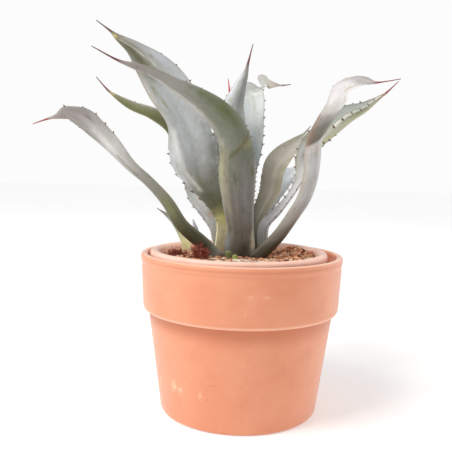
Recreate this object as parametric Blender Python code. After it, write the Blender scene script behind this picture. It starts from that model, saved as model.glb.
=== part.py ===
"""Potted agave: a rosette of long leaves in a terracotta nursery pot, standing in a larger cover pot.

Metres, +Z up. The origin is the middle of the cover pot's flat underside, and -Y is the front.
"""

import math
from typing import NamedTuple

import bmesh
import bpy
from mathutils import Vector

# Clearance between two pieces that touch
GAP = 0.0003

# Cover pot, a 19 cm terracotta pot with a deep band under its rim
COVER_HEIGHT = 0.1477
COVER_RIM_RADIUS = 0.095
COVER_BAND_BOTTOM = 0.0956
COVER_BAND_BOTTOM_RADIUS = 0.0922
COVER_BODY_TOP_RADIUS = 0.0873
COVER_BASE_RADIUS = 0.0742
COVER_WALL = 0.0062
COVER_FLOOR = 0.009
COVER_LIP_ROUND = 0.0022
BASE_ROUND = 0.003
COVER_BORE_STEP = 0.005

# Nursery pot, a 17 cm terracotta pot standing in the cover pot a little off centre
NURSERY_OFFSET = Vector((-0.003, -0.0022, COVER_FLOOR + GAP))
NURSERY_HEIGHT = 0.1413
NURSERY_RIM_RADIUS = 0.0835
NURSERY_RIM_WALL = 0.0086
NURSERY_RIM_ROUND = 0.0039
NURSERY_COLLAR_DEPTH = 0.038
NURSERY_COLLAR_BOTTOM_RADIUS = 0.0816
NURSERY_BODY_TOP_RADIUS = 0.0772
NURSERY_BASE_RADIUS = 0.062
NURSERY_WALL = 0.0066
NURSERY_FLOOR = 0.008
NURSERY_DRAIN_RADIUS = 0.009
POT_SEGMENTS = 64

# Soil, with its surface a little under the nursery pot's rim
SOIL_LEVEL = 0.1458
SOIL_EDGE_DROP = 0.0022
SOIL_SEGMENTS = 40
SOIL_RINGS = 9
# Mounds on the soil: centre x, y, then radius and height
SOIL_MOUNDS = (
    (0.052, 0.012, 0.026, 0.0065),
    (0.046, -0.034, 0.020, 0.0022),
    (-0.050, -0.040, 0.022, 0.0018),
    (-0.020, 0.052, 0.026, 0.0030),
)

# Stem stump in the middle of the rosette
STEM_CENTRE = Vector((-0.003, 0.001, 0.0))
STEM_BOTTOM_RADIUS = 0.0125
STEM_TOP_RADIUS = 0.0105
STEM_TOP = 0.1585
STEM_SEGMENTS = 24
LEAF_FOOT = SOIL_LEVEL + GAP
CROWN_FOOT = STEM_TOP + GAP

# Leaf cross-section: places across the upper and lower skins, in half widths
UPPER_PLACES = (-1.0, -0.5, 0.0, 0.5, 1.0)
LOWER_PLACES = (0.62, 0.0, -0.62)
CHANNEL_POWER = 1.6
RINGS_PER_SPAN = 2
SPINE_THICKNESS = 0.0006


class Leaf(NamedTuple):
    """A leaf: (x, y, z, half width) stations from foot to spine tip, and the ways its upper face looks."""

    stations: tuple
    facings: tuple
    channel: float = 0.45
    thickness: float = 0.0055


LEAVES = {
    "leaf_front": Leaf(
        stations=(
            (-0.0030, -0.0190, LEAF_FOOT, 0.0120),
            (-0.0015, -0.0260, 0.1700, 0.0120),
            (-0.0040, -0.0320, 0.1930, 0.0145),
            (-0.0060, -0.0380, 0.2195, 0.0170),
            (-0.0070, -0.0430, 0.2415, 0.0155),
            (-0.0125, -0.0475, 0.2600, 0.0135),
            (-0.0255, -0.0515, 0.2740, 0.0120),
            (-0.0415, -0.0555, 0.2850, 0.0090),
            (-0.0585, -0.0595, 0.2940, 0.0060),
            (-0.0755, -0.0630, 0.3025, 0.0040),
            (-0.0905, -0.0660, 0.3075, 0.0030),
            (-0.1045, -0.0690, 0.3115, 0.0011),
            (-0.1260, -0.0730, 0.3220, 0.0003),
        ),
        facings=((0.0, 1.0, 0.0), (0.05, 1.0, 0.0), (0.1, 0.95, 0.15)),
        channel=0.38,
    ),
    "leaf_far_left": Leaf(
        stations=(
            (-0.0260, -0.0235, LEAF_FOOT, 0.0100),
            (-0.0385, -0.0270, 0.1585, 0.0095),
            (-0.0555, -0.0310, 0.1740, 0.0085),
            (-0.0685, -0.0360, 0.1950, 0.0075),
            (-0.0840, -0.0400, 0.2125, 0.0065),
            (-0.0995, -0.0440, 0.2255, 0.0075),
            (-0.1170, -0.0480, 0.2435, 0.0115),
            (-0.1300, -0.0520, 0.2555, 0.0135),
            (-0.1395, -0.0550, 0.2635, 0.0130),
            (-0.1505, -0.0580, 0.2685, 0.0070),
            (-0.1585, -0.0595, 0.2660, 0.0025),
            (-0.1660, -0.0605, 0.2640, 0.0009),
            (-0.1780, -0.0620, 0.2595, 0.0003),
        ),
        facings=((0.6, 0.7, 0.4), (0.5, 0.7, 0.5), (0.45, 0.7, 0.55), (0.3, 0.75, 0.6), (0.05, 0.8, 0.6)),
        channel=0.35,
        thickness=0.0045,
    ),
    "leaf_left": Leaf(
        stations=(
            (-0.0210, -0.0090, LEAF_FOOT, 0.0070),
            (-0.0190, -0.0080, 0.1770, 0.0070),
            (-0.0255, -0.0060, 0.1935, 0.0110),
            (-0.0360, -0.0020, 0.2100, 0.0165),
            (-0.0450, 0.0030, 0.2265, 0.0225),
            (-0.0495, 0.0070, 0.2450, 0.0230),
            (-0.0600, 0.0150, 0.2755, 0.0210),
            (-0.0760, 0.0230, 0.3015, 0.0220),
            (-0.0930, 0.0310, 0.3235, 0.0175),
            (-0.1120, 0.0390, 0.3425, 0.0090),
            (-0.1295, 0.0445, 0.3550, 0.0040),
            (-0.1385, 0.0470, 0.3625, 0.0013),
            (-0.1540, 0.0520, 0.3740, 0.0004),
        ),
        facings=((0.7, -0.7, 0.0), (0.35, -0.95, 0.1), (0.3, -0.95, 0.2), (0.3, -0.9, 0.35)),
        channel=0.28,
    ),
    "leaf_back_left": Leaf(
        stations=(
            (-0.0230, 0.0090, LEAF_FOOT, 0.0065),
            (-0.0265, 0.0150, 0.1690, 0.0090),
            (-0.0355, 0.0200, 0.1855, 0.0125),
            (-0.0445, 0.0250, 0.2000, 0.0155),
            (-0.0505, 0.0330, 0.2205, 0.0150),
            (-0.0585, 0.0440, 0.2435, 0.0145),
            (-0.0745, 0.0570, 0.2675, 0.0115),
            (-0.0975, 0.0660, 0.2815, 0.0085),
            (-0.1210, 0.0740, 0.2905, 0.0070),
            (-0.1390, 0.0800, 0.3010, 0.0035),
            (-0.1485, 0.0840, 0.3080, 0.0013),
            (-0.1635, 0.0900, 0.3235, 0.0004),
        ),
        facings=((0.7, -0.7, 0.0), (0.5, -0.8, 0.2), (0.35, -0.75, 0.5), (0.15, -0.5, 0.85)),
        channel=0.3,
        thickness=0.0045,
    ),
    "leaf_front_right": Leaf(
        stations=(
            (0.0150, -0.0230, LEAF_FOOT, 0.0070),
            (0.0325, -0.0290, 0.1660, 0.0065),
            (0.0455, -0.0330, 0.1860, 0.0065),
            (0.0550, -0.0355, 0.2025, 0.0075),
            (0.0605, -0.0360, 0.2210, 0.0090),
            (0.0620, -0.0355, 0.2380, 0.0100),
            (0.0625, -0.0380, 0.2515, 0.0095),
            (0.0700, -0.0480, 0.2690, 0.0100),
            (0.0770, -0.0580, 0.2800, 0.0115),
            (0.0820, -0.0660, 0.2915, 0.0125),
            (0.0885, -0.0740, 0.2955, 0.0095),
            (0.0945, -0.0800, 0.2970, 0.0035),
            (0.1015, -0.0850, 0.2955, 0.0009),
            (0.1175, -0.0950, 0.2970, 0.0003),
        ),
        facings=((-0.4, 0.9, 0.1), (-0.6, 0.75, 0.15), (-0.6, 0.7, 0.25), (-0.35, 0.85, 0.2)),
        channel=0.35,
        thickness=0.005,
    ),
    "leaf_right": Leaf(
        stations=(
            (0.0215, -0.0060, LEAF_FOOT, 0.0060),
            (0.0210, -0.0070, 0.1735, 0.0055),
            (0.0330, -0.0055, 0.1885, 0.0045),
            (0.0460, -0.0030, 0.2060, 0.0035),
            (0.0540, 0.0000, 0.2210, 0.0060),
            (0.0590, 0.0030, 0.2365, 0.0105),
            (0.0670, 0.0060, 0.2515, 0.0125),
            (0.0835, 0.0095, 0.2665, 0.0120),
            (0.0975, 0.0130, 0.2780, 0.0115),
            (0.1115, 0.0165, 0.2855, 0.0080),
            (0.1235, 0.0195, 0.2940, 0.0040),
            (0.1340, 0.0220, 0.3025, 0.0012),
            (0.1470, 0.0260, 0.3150, 0.0003),
        ),
        facings=((-0.7, -0.7, 0.1), (-0.6, -0.75, 0.2), (-0.45, -0.75, 0.45), (-0.3, -0.6, 0.7)),
        channel=0.5,
        thickness=0.005,
    ),
    "leaf_back_right": Leaf(
        stations=(
            (0.0160, 0.0105, LEAF_FOOT, 0.0055),
            (0.0140, 0.0135, 0.1755, 0.0075),
            (0.0215, 0.0190, 0.1920, 0.0095),
            (0.0285, 0.0260, 0.2050, 0.0120),
            (0.0310, 0.0320, 0.2200, 0.0125),
            (0.0355, 0.0380, 0.2320, 0.0135),
            (0.0415, 0.0430, 0.2410, 0.0120),
            (0.0495, 0.0480, 0.2500, 0.0090),
            (0.0565, 0.0515, 0.2585, 0.0050),
            (0.0610, 0.0540, 0.2650, 0.0015),
            (0.0675, 0.0570, 0.2730, 0.0004),
        ),
        facings=((-0.5, -0.85, 0.1), (-0.5, -0.85, 0.2), (-0.4, -0.7, 0.5)),
        channel=0.5,
        thickness=0.0045,
    ),
    "leaf_far_back": Leaf(
        stations=(
            (0.0035, 0.0215, LEAF_FOOT, 0.0075),
            (0.0180, 0.0360, 0.1790, 0.0085),
            (0.0320, 0.0500, 0.1995, 0.0095),
            (0.0430, 0.0640, 0.2150, 0.0115),
            (0.0495, 0.0800, 0.2255, 0.0140),
            (0.0535, 0.1000, 0.2305, 0.0170),
            (0.0565, 0.1220, 0.2310, 0.0085),
            (0.0590, 0.1420, 0.2265, 0.0040),
            (0.0595, 0.1530, 0.2240, 0.0012),
            (0.0615, 0.1680, 0.2185, 0.0004),
        ),
        facings=((-0.4, -0.9, 0.1), (-0.4, -0.7, 0.6), (-0.15, -0.1, 1.0)),
        channel=0.3,
        thickness=0.0045,
    ),
    "leaf_back": Leaf(
        stations=(
            (0.0025, 0.0095, CROWN_FOOT, 0.0035),
            (0.0015, 0.0290, 0.1910, 0.0065),
            (0.0035, 0.0400, 0.2235, 0.0095),
            (0.0065, 0.0430, 0.2510, 0.0120),
            (0.0065, 0.0510, 0.2810, 0.0130),
            (0.0065, 0.0570, 0.2995, 0.0130),
            (0.0055, 0.0610, 0.3070, 0.0115),
            (0.0150, 0.0665, 0.3120, 0.0025),
            (0.0185, 0.0700, 0.3175, 0.0085),
            (0.0240, 0.0750, 0.3170, 0.0065),
            (0.0315, 0.0800, 0.3170, 0.0035),
            (0.0385, 0.0840, 0.3175, 0.0010),
            (0.0480, 0.0900, 0.3195, 0.0004),
        ),
        facings=((0.0, -1.0, 0.0), (0.0, -1.0, 0.1), (-0.2, -0.6, 0.75)),
        channel=0.22,
        thickness=0.0035,
    ),
    "leaf_centre": Leaf(
        stations=(
            (-0.0060, -0.0060, CROWN_FOOT, 0.0040),
            (-0.0075, -0.0020, 0.1745, 0.0060),
            (-0.0105, 0.0060, 0.1980, 0.0105),
            (-0.0150, 0.0140, 0.2345, 0.0185),
            (-0.0160, 0.0195, 0.2635, 0.0170),
            (-0.0135, 0.0220, 0.2875, 0.0115),
            (-0.0080, 0.0230, 0.3035, 0.0075),
            (-0.0020, 0.0230, 0.3180, 0.0035),
            (0.0010, 0.0230, 0.3280, 0.0013),
            (0.0055, 0.0220, 0.3470, 0.0003),
        ),
        facings=((0.0, 1.0, 0.0), (0.25, 1.0, 0.0), (0.4, 1.0, 0.0)),
        channel=0.35,
        thickness=0.0035,
    ),
    "leaf_bud": Leaf(
        stations=(
            (-0.0055, 0.0015, CROWN_FOOT, 0.0030),
            (-0.0065, 0.0180, 0.2070, 0.0070),
            (-0.0100, 0.0290, 0.2510, 0.0080),
            (-0.0130, 0.0340, 0.2835, 0.0045),
            (-0.0160, 0.0355, 0.3005, 0.0013),
            (-0.0180, 0.0360, 0.3155, 0.0003),
        ),
        facings=((0.0, 1.0, 0.0), (0.0, 1.0, 0.0)),
        channel=0.3,
        thickness=0.0028,
    ),
    "offset_leaf_long": Leaf(
        stations=(
            (-0.0545, 0.0170, LEAF_FOOT, 0.0050),
            (-0.0565, 0.0170, 0.1550, 0.0050),
            (-0.0610, 0.0180, 0.1640, 0.0045),
            (-0.0675, 0.0190, 0.1735, 0.0035),
            (-0.0750, 0.0200, 0.1800, 0.0020),
            (-0.0800, 0.0205, 0.1835, 0.0009),
            (-0.0850, 0.0210, 0.1865, 0.0003),
        ),
        facings=((0.5, -0.8, 0.3), (0.4, -0.8, 0.4)),
        channel=0.35,
        thickness=0.003,
    ),
    "offset_leaf_short": Leaf(
        stations=(
            (-0.0420, 0.0160, LEAF_FOOT, 0.0040),
            (-0.0440, 0.0160, 0.1595, 0.0040),
            (-0.0460, 0.0170, 0.1680, 0.0025),
            (-0.0490, 0.0180, 0.1770, 0.0003),
        ),
        facings=((-0.3, -0.8, 0.1), (-0.2, -0.9, 0.2)),
        channel=0.3,
        thickness=0.003,
    ),
}

# Old leaf bases cut back to the stem: x, y, top z, half width, and the way the cut leaf's upper face looks
LEAF_STUBS = (
    (-0.0115, -0.0300, 0.1530, 0.0036, (0.3, 1.0, 0.1)),
    (-0.0060, -0.0335, 0.1500, 0.0025, (-0.1, 1.0, 0.1)),
    (-0.0015, 0.0330, 0.1545, 0.0060, (0.1, -1.0, 0.1)),
)
STUB_THICKNESS = 0.0035
STUB_LEAN = 0.25

# Loose matter on the soil: x, y, half length, half width, half height and turn about +Z in degrees
COIR_CLUMPS = (
    (-0.0370, -0.0385, 0.0074, 0.0062, 0.0070, 10.0),
    (-0.060, -0.020, 0.0080, 0.0060, 0.0030, -35.0),
)
BARK_CHIPS = (
    (0.020, -0.052, 0.0060, 0.0026, 0.0012, 12.0),
    (-0.004, -0.050, 0.0045, 0.0022, 0.0011, -25.0),
    (-0.022, -0.055, 0.0050, 0.0024, 0.0012, 40.0),
    (0.012, -0.062, 0.0036, 0.0022, 0.0011, 5.0),
    (0.062, -0.018, 0.0044, 0.0026, 0.0015, 30.0),
    (0.060, 0.030, 0.0046, 0.0028, 0.0015, -15.0),
    (-0.030, 0.056, 0.0048, 0.0026, 0.0013, 10.0),
    (0.022, 0.060, 0.0044, 0.0024, 0.0012, -40.0),
)
# Rows of a lump from its underside up: height in half heights, and reach in half lengths
LUMP_ROWS = ((0.0, 0.45), (0.45, 1.0), (1.35, 0.85), (2.0, 0.4))
LUMP_SIDES = 8

MATERIALS = {
    "terracotta_orange": ((0.78, 0.36, 0.20), 0.85),
    "terracotta_pink": ((0.80, 0.45, 0.32), 0.85),
    "potting_soil": ((0.13, 0.06, 0.035), 0.95),
    "coir": ((0.24, 0.09, 0.045), 0.95),
    "bark": ((0.62, 0.50, 0.36), 0.9),
    "stem_green": ((0.42, 0.42, 0.22), 0.7),
    "agave_leaf": ((0.52, 0.57, 0.54), 0.55),
    "dry_leaf_base": ((0.60, 0.55, 0.52), 0.75),
}


def clear_scene():
    """Removes every object that the file starts with."""
    for old in list(bpy.data.objects):
        bpy.data.objects.remove(old, do_unlink=True)


def material(name):
    """The named material, made on first use."""
    found = bpy.data.materials.get(name)
    if found:
        return found
    colour, roughness = MATERIALS[name]
    made = bpy.data.materials.new(name)
    made.use_nodes = True
    shader = made.node_tree.nodes["Principled BSDF"]
    shader.inputs["Base Color"].default_value = (*colour, 1.0)
    shader.inputs["Roughness"].default_value = roughness
    shader.inputs["Metallic"].default_value = 0.0
    return made


def add_object(name, points, faces, material_name, location=(0.0, 0.0, 0.0), crease_degrees=35.0):
    """One smooth-shaded mesh object, with its faces turned outward."""
    mesh = bpy.data.meshes.new(name)
    mesh.from_pydata(points, [], faces)
    shape = bmesh.new()
    shape.from_mesh(mesh)
    bmesh.ops.recalc_face_normals(shape, faces=shape.faces)
    shape.to_mesh(mesh)
    shape.free()
    mesh.shade_smooth()
    mesh.set_sharp_from_angle(angle=math.radians(crease_degrees))
    mesh.materials.append(material(material_name))
    made = bpy.data.objects.new(name, mesh)
    made.location = location
    bpy.context.collection.objects.link(made)
    return made


def joined_rings(rings, closed):
    """Points and faces of quads between rings of equal length; closed joins the last ring to the first."""
    count = len(rings[0])
    points = [point for ring in rings for point in ring]
    faces = []
    for index in range(len(rings) if closed else len(rings) - 1):
        here = index * count
        there = (index + 1) % len(rings) * count
        for place in range(count):
            after = (place + 1) % count
            faces.append((here + place, here + after, there + after, there + place))
    return points, faces


def lathe_rings(profile, segments):
    """One ring of points about the Z axis for each (radius, z) of a profile."""
    angles = [math.tau * step / segments for step in range(segments)]
    return [[(radius * math.cos(a), radius * math.sin(a), z) for a in angles] for radius, z in profile]


def rounded_corner(before, corner, after, radius, steps=3):
    """Points that round a profile's corner, from a radius before it to a radius after it."""
    corner = Vector(corner)
    start = corner + (Vector(before) - corner).normalized() * radius
    end = corner + (Vector(after) - corner).normalized() * radius
    turned = []
    for step in range(steps + 1):
        share = step / steps
        turned.append(start * (1 - share) ** 2 + corner * 2 * share * (1 - share) + end * share**2)
    return [tuple(point) for point in turned]


def rounded_profile(corners):
    """A closed profile from (radius, z, rounding) corners; a rounding of 0 stays sharp."""
    profile = []
    for index, (radius, z, rounding) in enumerate(corners):
        before = corners[index - 1][:2]
        after = corners[(index + 1) % len(corners)][:2]
        if rounding:
            profile += rounded_corner(before, (radius, z), after, rounding)
        else:
            profile.append((radius, z))
    return profile


def add_cover_pot():
    """The outer pot: closed floor, flared body and a deep band that overhangs the body."""
    bore_radius = COVER_RIM_RADIUS - COVER_WALL
    band_bore = COVER_BAND_BOTTOM_RADIUS - COVER_WALL
    step_top = COVER_BAND_BOTTOM + COVER_BORE_STEP
    body_bore = COVER_BODY_TOP_RADIUS - COVER_WALL
    floor_radius = COVER_BASE_RADIUS - COVER_WALL
    corners = (
        (floor_radius, 0.0, 0.0),
        (COVER_BASE_RADIUS, 0.0, BASE_ROUND),
        (COVER_BODY_TOP_RADIUS, COVER_BAND_BOTTOM, 0.0),
        (COVER_BAND_BOTTOM_RADIUS, COVER_BAND_BOTTOM, COVER_LIP_ROUND),
        (COVER_RIM_RADIUS, COVER_HEIGHT, COVER_LIP_ROUND),
        (bore_radius, COVER_HEIGHT, COVER_LIP_ROUND),
        (band_bore, step_top, 0.0),
        (body_bore, COVER_BAND_BOTTOM - COVER_BORE_STEP, 0.0),
        (floor_radius, COVER_FLOOR, 0.0),
    )
    points, faces = joined_rings(lathe_rings(rounded_profile(corners), POT_SEGMENTS), closed=False)
    close_ends(faces, POT_SEGMENTS, len(points))
    return add_object("cover_pot", points, faces, "terracotta_orange")


def close_ends(faces, count, total):
    """Adds a flat face over the first ring and over the last one."""
    faces.append(tuple(range(count))[::-1])
    faces.append(tuple(range(total - count, total)))


def add_nursery_pot():
    """The inner pot: thick rounded rim over a short collar, and a drain hole in its floor."""
    collar_bottom = NURSERY_HEIGHT - NURSERY_COLLAR_DEPTH
    corners = (
        (NURSERY_DRAIN_RADIUS, 0.0, 0.0),
        (NURSERY_BASE_RADIUS, 0.0, BASE_ROUND),
        (NURSERY_BODY_TOP_RADIUS, collar_bottom, 0.0),
        (NURSERY_COLLAR_BOTTOM_RADIUS, collar_bottom, 0.0),
        (NURSERY_RIM_RADIUS, NURSERY_HEIGHT, NURSERY_RIM_ROUND),
        (NURSERY_RIM_RADIUS - NURSERY_RIM_WALL, NURSERY_HEIGHT, NURSERY_RIM_ROUND),
        (NURSERY_BODY_TOP_RADIUS - NURSERY_WALL, collar_bottom, 0.0),
        (NURSERY_BASE_RADIUS - NURSERY_WALL, NURSERY_FLOOR, 0.0),
        (NURSERY_DRAIN_RADIUS, NURSERY_FLOOR, 0.0),
    )
    points, faces = joined_rings(lathe_rings(rounded_profile(corners), POT_SEGMENTS), closed=True)
    return add_object("nursery_pot", points, faces, "terracotta_pink", NURSERY_OFFSET)


def nursery_bore(z):
    """Radius of the nursery pot's inside at a height above its foot."""
    bottom = (NURSERY_FLOOR, NURSERY_BASE_RADIUS - NURSERY_WALL)
    middle = (NURSERY_HEIGHT - NURSERY_COLLAR_DEPTH, NURSERY_BODY_TOP_RADIUS - NURSERY_WALL)
    top = (NURSERY_HEIGHT, NURSERY_RIM_RADIUS - NURSERY_RIM_WALL)
    low, high = (bottom, middle) if z < middle[0] else (middle, top)
    return low[1] + (high[1] - low[1]) * (z - low[0]) / (high[0] - low[0])


def soil_height(x, y):
    """Height of the soil's surface over a place on the ground plan."""
    out = math.hypot(x - NURSERY_OFFSET.x, y - NURSERY_OFFSET.y) / nursery_bore(NURSERY_HEIGHT)
    height = SOIL_LEVEL - SOIL_EDGE_DROP * max(0.0, out - 0.6) / 0.4
    for centre_x, centre_y, radius, rise in SOIL_MOUNDS:
        away = math.hypot(x - centre_x, y - centre_y) / radius
        if away < 1.0:
            height += rise * 0.5 * (1.0 + math.cos(math.pi * away))
    return height


def add_soil():
    """The soil: a plug that fills the nursery pot's inside, with a gently mounded top."""
    side_heights = (
        NURSERY_FLOOR + GAP,
        NURSERY_HEIGHT - NURSERY_COLLAR_DEPTH,
        SOIL_LEVEL - SOIL_EDGE_DROP - NURSERY_OFFSET.z,
    )
    rings = lathe_rings([(nursery_bore(z) - GAP, z) for z in side_heights], SOIL_SEGMENTS)
    edge = nursery_bore(side_heights[-1]) - GAP
    for ring in range(1, SOIL_RINGS):
        radius = edge * (1.0 - ring / SOIL_RINGS)
        flat = lathe_rings([(radius, 0.0)], SOIL_SEGMENTS)[0]
        rings.append([raised_to_soil(x, y) for x, y, _ in flat])
    points, faces = joined_rings(rings, closed=False)
    close_ends(faces, SOIL_SEGMENTS, len(points))
    return add_object("soil", points, faces, "potting_soil", NURSERY_OFFSET)


def raised_to_soil(x, y):
    """A point of the soil's surface, in the nursery pot's own frame."""
    return (x, y, soil_height(x + NURSERY_OFFSET.x, y + NURSERY_OFFSET.y) - NURSERY_OFFSET.z)


def add_stem():
    """The short stem stump that the leaves grow round."""
    profile = ((STEM_BOTTOM_RADIUS, LEAF_FOOT), (STEM_TOP_RADIUS, STEM_TOP))
    points, faces = joined_rings(lathe_rings(profile, STEM_SEGMENTS), closed=False)
    close_ends(faces, STEM_SEGMENTS, len(points))
    return add_object("stem", points, faces, "stem_green", STEM_CENTRE)


def smooth_stations(stations):
    """The stations with more between them, on a curve that passes through each."""
    knots = [Vector(station) for station in stations]
    chords = [(b.xyz - a.xyz).length for a, b in zip(knots, knots[1:])]
    slopes = [(knots[1] - knots[0]) / chords[0]]
    for index in range(1, len(knots) - 1):
        slopes.append((knots[index + 1] - knots[index - 1]) / (chords[index - 1] + chords[index]))
    slopes.append((knots[-1] - knots[-2]) / chords[-1])
    smooth = []
    for index, chord in enumerate(chords):
        for step in range(RINGS_PER_SPAN):
            s = step / RINGS_PER_SPAN
            rise = 3 * s**2 - 2 * s**3
            leave = chord * (s**3 - 2 * s**2 + s)
            arrive = chord * (s**3 - s**2)
            mixed = knots[index] * (1 - rise) + knots[index + 1] * rise
            smooth.append(mixed + slopes[index] * leave + slopes[index + 1] * arrive)
    return [*smooth, knots[-1]]


def facing_at(facings, share):
    """The way the upper face looks at a share of the leaf's length."""
    place = share * (len(facings) - 1)
    index = min(int(place), len(facings) - 2)
    return Vector(facings[index]).lerp(Vector(facings[index + 1]), place - index)


def leaf_section(half_width, channel, thickness):
    """Places (across, up) round a leaf: a channel-shaped upper skin, and a lower skin bulging under it."""
    section = []
    for place in UPPER_PLACES:
        section.append((place * half_width, channel * half_width * abs(place) ** CHANNEL_POWER))
    for place in LOWER_PLACES:
        trough = channel * half_width * abs(place) ** CHANNEL_POWER
        section.append((place * half_width, trough - thickness * math.sqrt(1.0 - place**2)))
    return section


def leaf_rings(leaf):
    """Rings of points up the leaf. The first one is cut level with its foot."""
    path = smooth_stations(leaf.stations)
    rings = []
    for index, station in enumerate(path):
        share = index / (len(path) - 1)
        after = path[min(index + 1, len(path) - 1)]
        before = path[max(index - 1, 0)]
        along = (after.xyz - before.xyz).normalized()
        across = facing_at(leaf.facings, share).cross(along).normalized()
        up = along.cross(across)
        thickness = leaf.thickness * (1.0 - share) + SPINE_THICKNESS * share
        ring = []
        for place_across, place_up in leaf_section(station.w, leaf.channel, thickness):
            point = station.xyz + across * place_across + up * place_up
            if index == 0:
                point += along * (station.z - point.z) / along.z
            ring.append(point)
        rings.append(ring)
    return rings


def add_leaf(name, leaf, material_name="agave_leaf"):
    """One leaf or leaf base, as a closed skin."""
    rings = leaf_rings(leaf)
    points, faces = joined_rings(rings, closed=False)
    close_ends(faces, len(rings[0]), len(points))
    return add_object(name, points, faces, material_name, crease_degrees=50.0)


def stub_leaf(x, y, top, half_width, facing):
    """A cut-back leaf base, as a short leaf that leans out from the stem."""
    lean = -STUB_LEAN * (top - LEAF_FOOT)
    stations = (
        (x, y, LEAF_FOOT, half_width),
        (x + facing[0] * lean, y + facing[1] * lean, (LEAF_FOOT + top) / 2, half_width),
        (x + facing[0] * lean * 2, y + facing[1] * lean * 2, top, half_width * 0.55),
    )
    return Leaf(stations, (facing, facing), channel=0.35, thickness=STUB_THICKNESS)


def add_lump(name, measures, material_name):
    """A flattened lump that lies just over the soil."""
    x, y, half_length, half_width, half_height, turn_degrees = measures
    turn = math.radians(turn_degrees)
    foot = highest_soil(x, y, max(half_length, half_width)) + GAP
    rings = []
    for rise, reach in LUMP_ROWS:
        ring = []
        for step in range(LUMP_SIDES):
            angle = math.tau * step / LUMP_SIDES
            along = half_length * reach * math.cos(angle)
            beside = half_width * reach * math.sin(angle)
            place_x = x + along * math.cos(turn) - beside * math.sin(turn)
            place_y = y + along * math.sin(turn) + beside * math.cos(turn)
            ring.append((place_x, place_y, foot + half_height * rise))
        rings.append(ring)
    points, faces = joined_rings(rings, closed=False)
    close_ends(faces, LUMP_SIDES, len(points))
    return add_object(name, points, faces, material_name)


def highest_soil(x, y, reach):
    """The soil's greatest height within a reach of a place."""
    heights = [soil_height(x, y)]
    for step in range(16):
        angle = math.tau * step / 16
        heights.append(soil_height(x + reach * math.cos(angle), y + reach * math.sin(angle)))
    return max(heights)


def main():
    clear_scene()
    add_cover_pot()
    add_nursery_pot()
    add_soil()
    add_stem()
    for name, leaf in LEAVES.items():
        add_leaf(name, leaf)
    for number, stub in enumerate(LEAF_STUBS, 1):
        add_leaf(f"leaf_stub_{number}", stub_leaf(*stub), "dry_leaf_base")
    for number, clump in enumerate(COIR_CLUMPS, 1):
        add_lump(f"coir_clump_{number}", clump, "coir")
    for number, chip in enumerate(BARK_CHIPS, 1):
        add_lump(f"bark_chip_{number}", chip, "bark")


main()
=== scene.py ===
"""Potted agave: the looks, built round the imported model."""

import itertools
import math
import random
from typing import NamedTuple

import bpy
import numpy as np
from mathutils import Matrix, Vector, noise


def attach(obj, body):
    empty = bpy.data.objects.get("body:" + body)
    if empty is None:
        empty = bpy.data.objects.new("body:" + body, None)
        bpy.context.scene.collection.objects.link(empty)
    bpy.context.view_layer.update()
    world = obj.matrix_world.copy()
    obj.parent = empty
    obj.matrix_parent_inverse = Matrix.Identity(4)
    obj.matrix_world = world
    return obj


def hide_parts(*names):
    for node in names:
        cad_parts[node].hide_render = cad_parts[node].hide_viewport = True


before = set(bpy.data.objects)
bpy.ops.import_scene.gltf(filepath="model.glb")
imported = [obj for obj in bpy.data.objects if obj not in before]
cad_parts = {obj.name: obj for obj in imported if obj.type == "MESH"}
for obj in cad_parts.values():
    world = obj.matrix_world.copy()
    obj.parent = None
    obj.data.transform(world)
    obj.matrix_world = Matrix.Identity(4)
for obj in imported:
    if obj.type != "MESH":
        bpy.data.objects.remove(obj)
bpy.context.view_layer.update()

GAP = 0.0003
BODY = "root"

# ---------------------------------------------------------------- camera and light

CAMERA_PLACE = (0.0, -0.54994, 0.22148)
CAMERA_YAW = math.radians(-1.624)
CAMERA_PITCH = math.radians(5.093)
CAMERA_ROLL = math.radians(1.42)
CAMERA_LENS = 46.31


def add_camera():
    """The camera: a small turn to the left, a few degrees down and a slight roll."""
    ahead = Vector((
        math.sin(CAMERA_YAW) * math.cos(CAMERA_PITCH),
        math.cos(CAMERA_YAW) * math.cos(CAMERA_PITCH),
        -math.sin(CAMERA_PITCH),
    ))
    level = Vector((math.cos(CAMERA_YAW), -math.sin(CAMERA_YAW), 0.0))
    upright = level.cross(ahead)
    right = level * math.cos(CAMERA_ROLL) + upright * math.sin(CAMERA_ROLL)
    up = upright * math.cos(CAMERA_ROLL) - level * math.sin(CAMERA_ROLL)
    lens = bpy.data.cameras.new("camera")
    lens.lens = CAMERA_LENS
    lens.clip_end = 20.0
    camera = bpy.data.objects.new("camera", lens)
    camera.matrix_world = Matrix((right, up, -ahead)).transposed().to_4x4()
    camera.location = CAMERA_PLACE
    bpy.context.scene.collection.objects.link(camera)
    bpy.context.scene.camera = camera


# Each light: name, place, target, size, power, colour
LIGHTS = (
    ("key", (-0.75, -0.6, 1.5), (0.0, 0.0, 0.15), 0.6, 18.0, (1.0, 0.985, 0.96)),
    ("side", (-1.4, -0.3, 0.5), (0.0, 0.0, 0.12), 1.0, 4.5, (1.0, 0.99, 0.98)),
    ("rim", (1.4, 0.5, 0.6), (0.0, 0.0, 0.12), 1.0, 8.5, (0.98, 0.99, 1.0)),
)


def add_lights():
    """Three square soft lights, each turned to its target."""
    for name, place, target, size, power, colour in LIGHTS:
        lamp = bpy.data.lights.new(name, "AREA")
        lamp.size = size
        lamp.energy = power
        lamp.color = colour
        light = bpy.data.objects.new(name, lamp)
        light.location = place
        light.rotation_euler = (Vector(target) - Vector(place)).to_track_quat("-Z", "Y").to_euler()
        bpy.context.scene.collection.objects.link(light)


WORLD_STRENGTH = 0.56
WHITE = (1.0, 1.0, 1.0, 1.0)
SEEN_WHITE = (0.975, 0.975, 0.975, 1.0)


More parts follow.
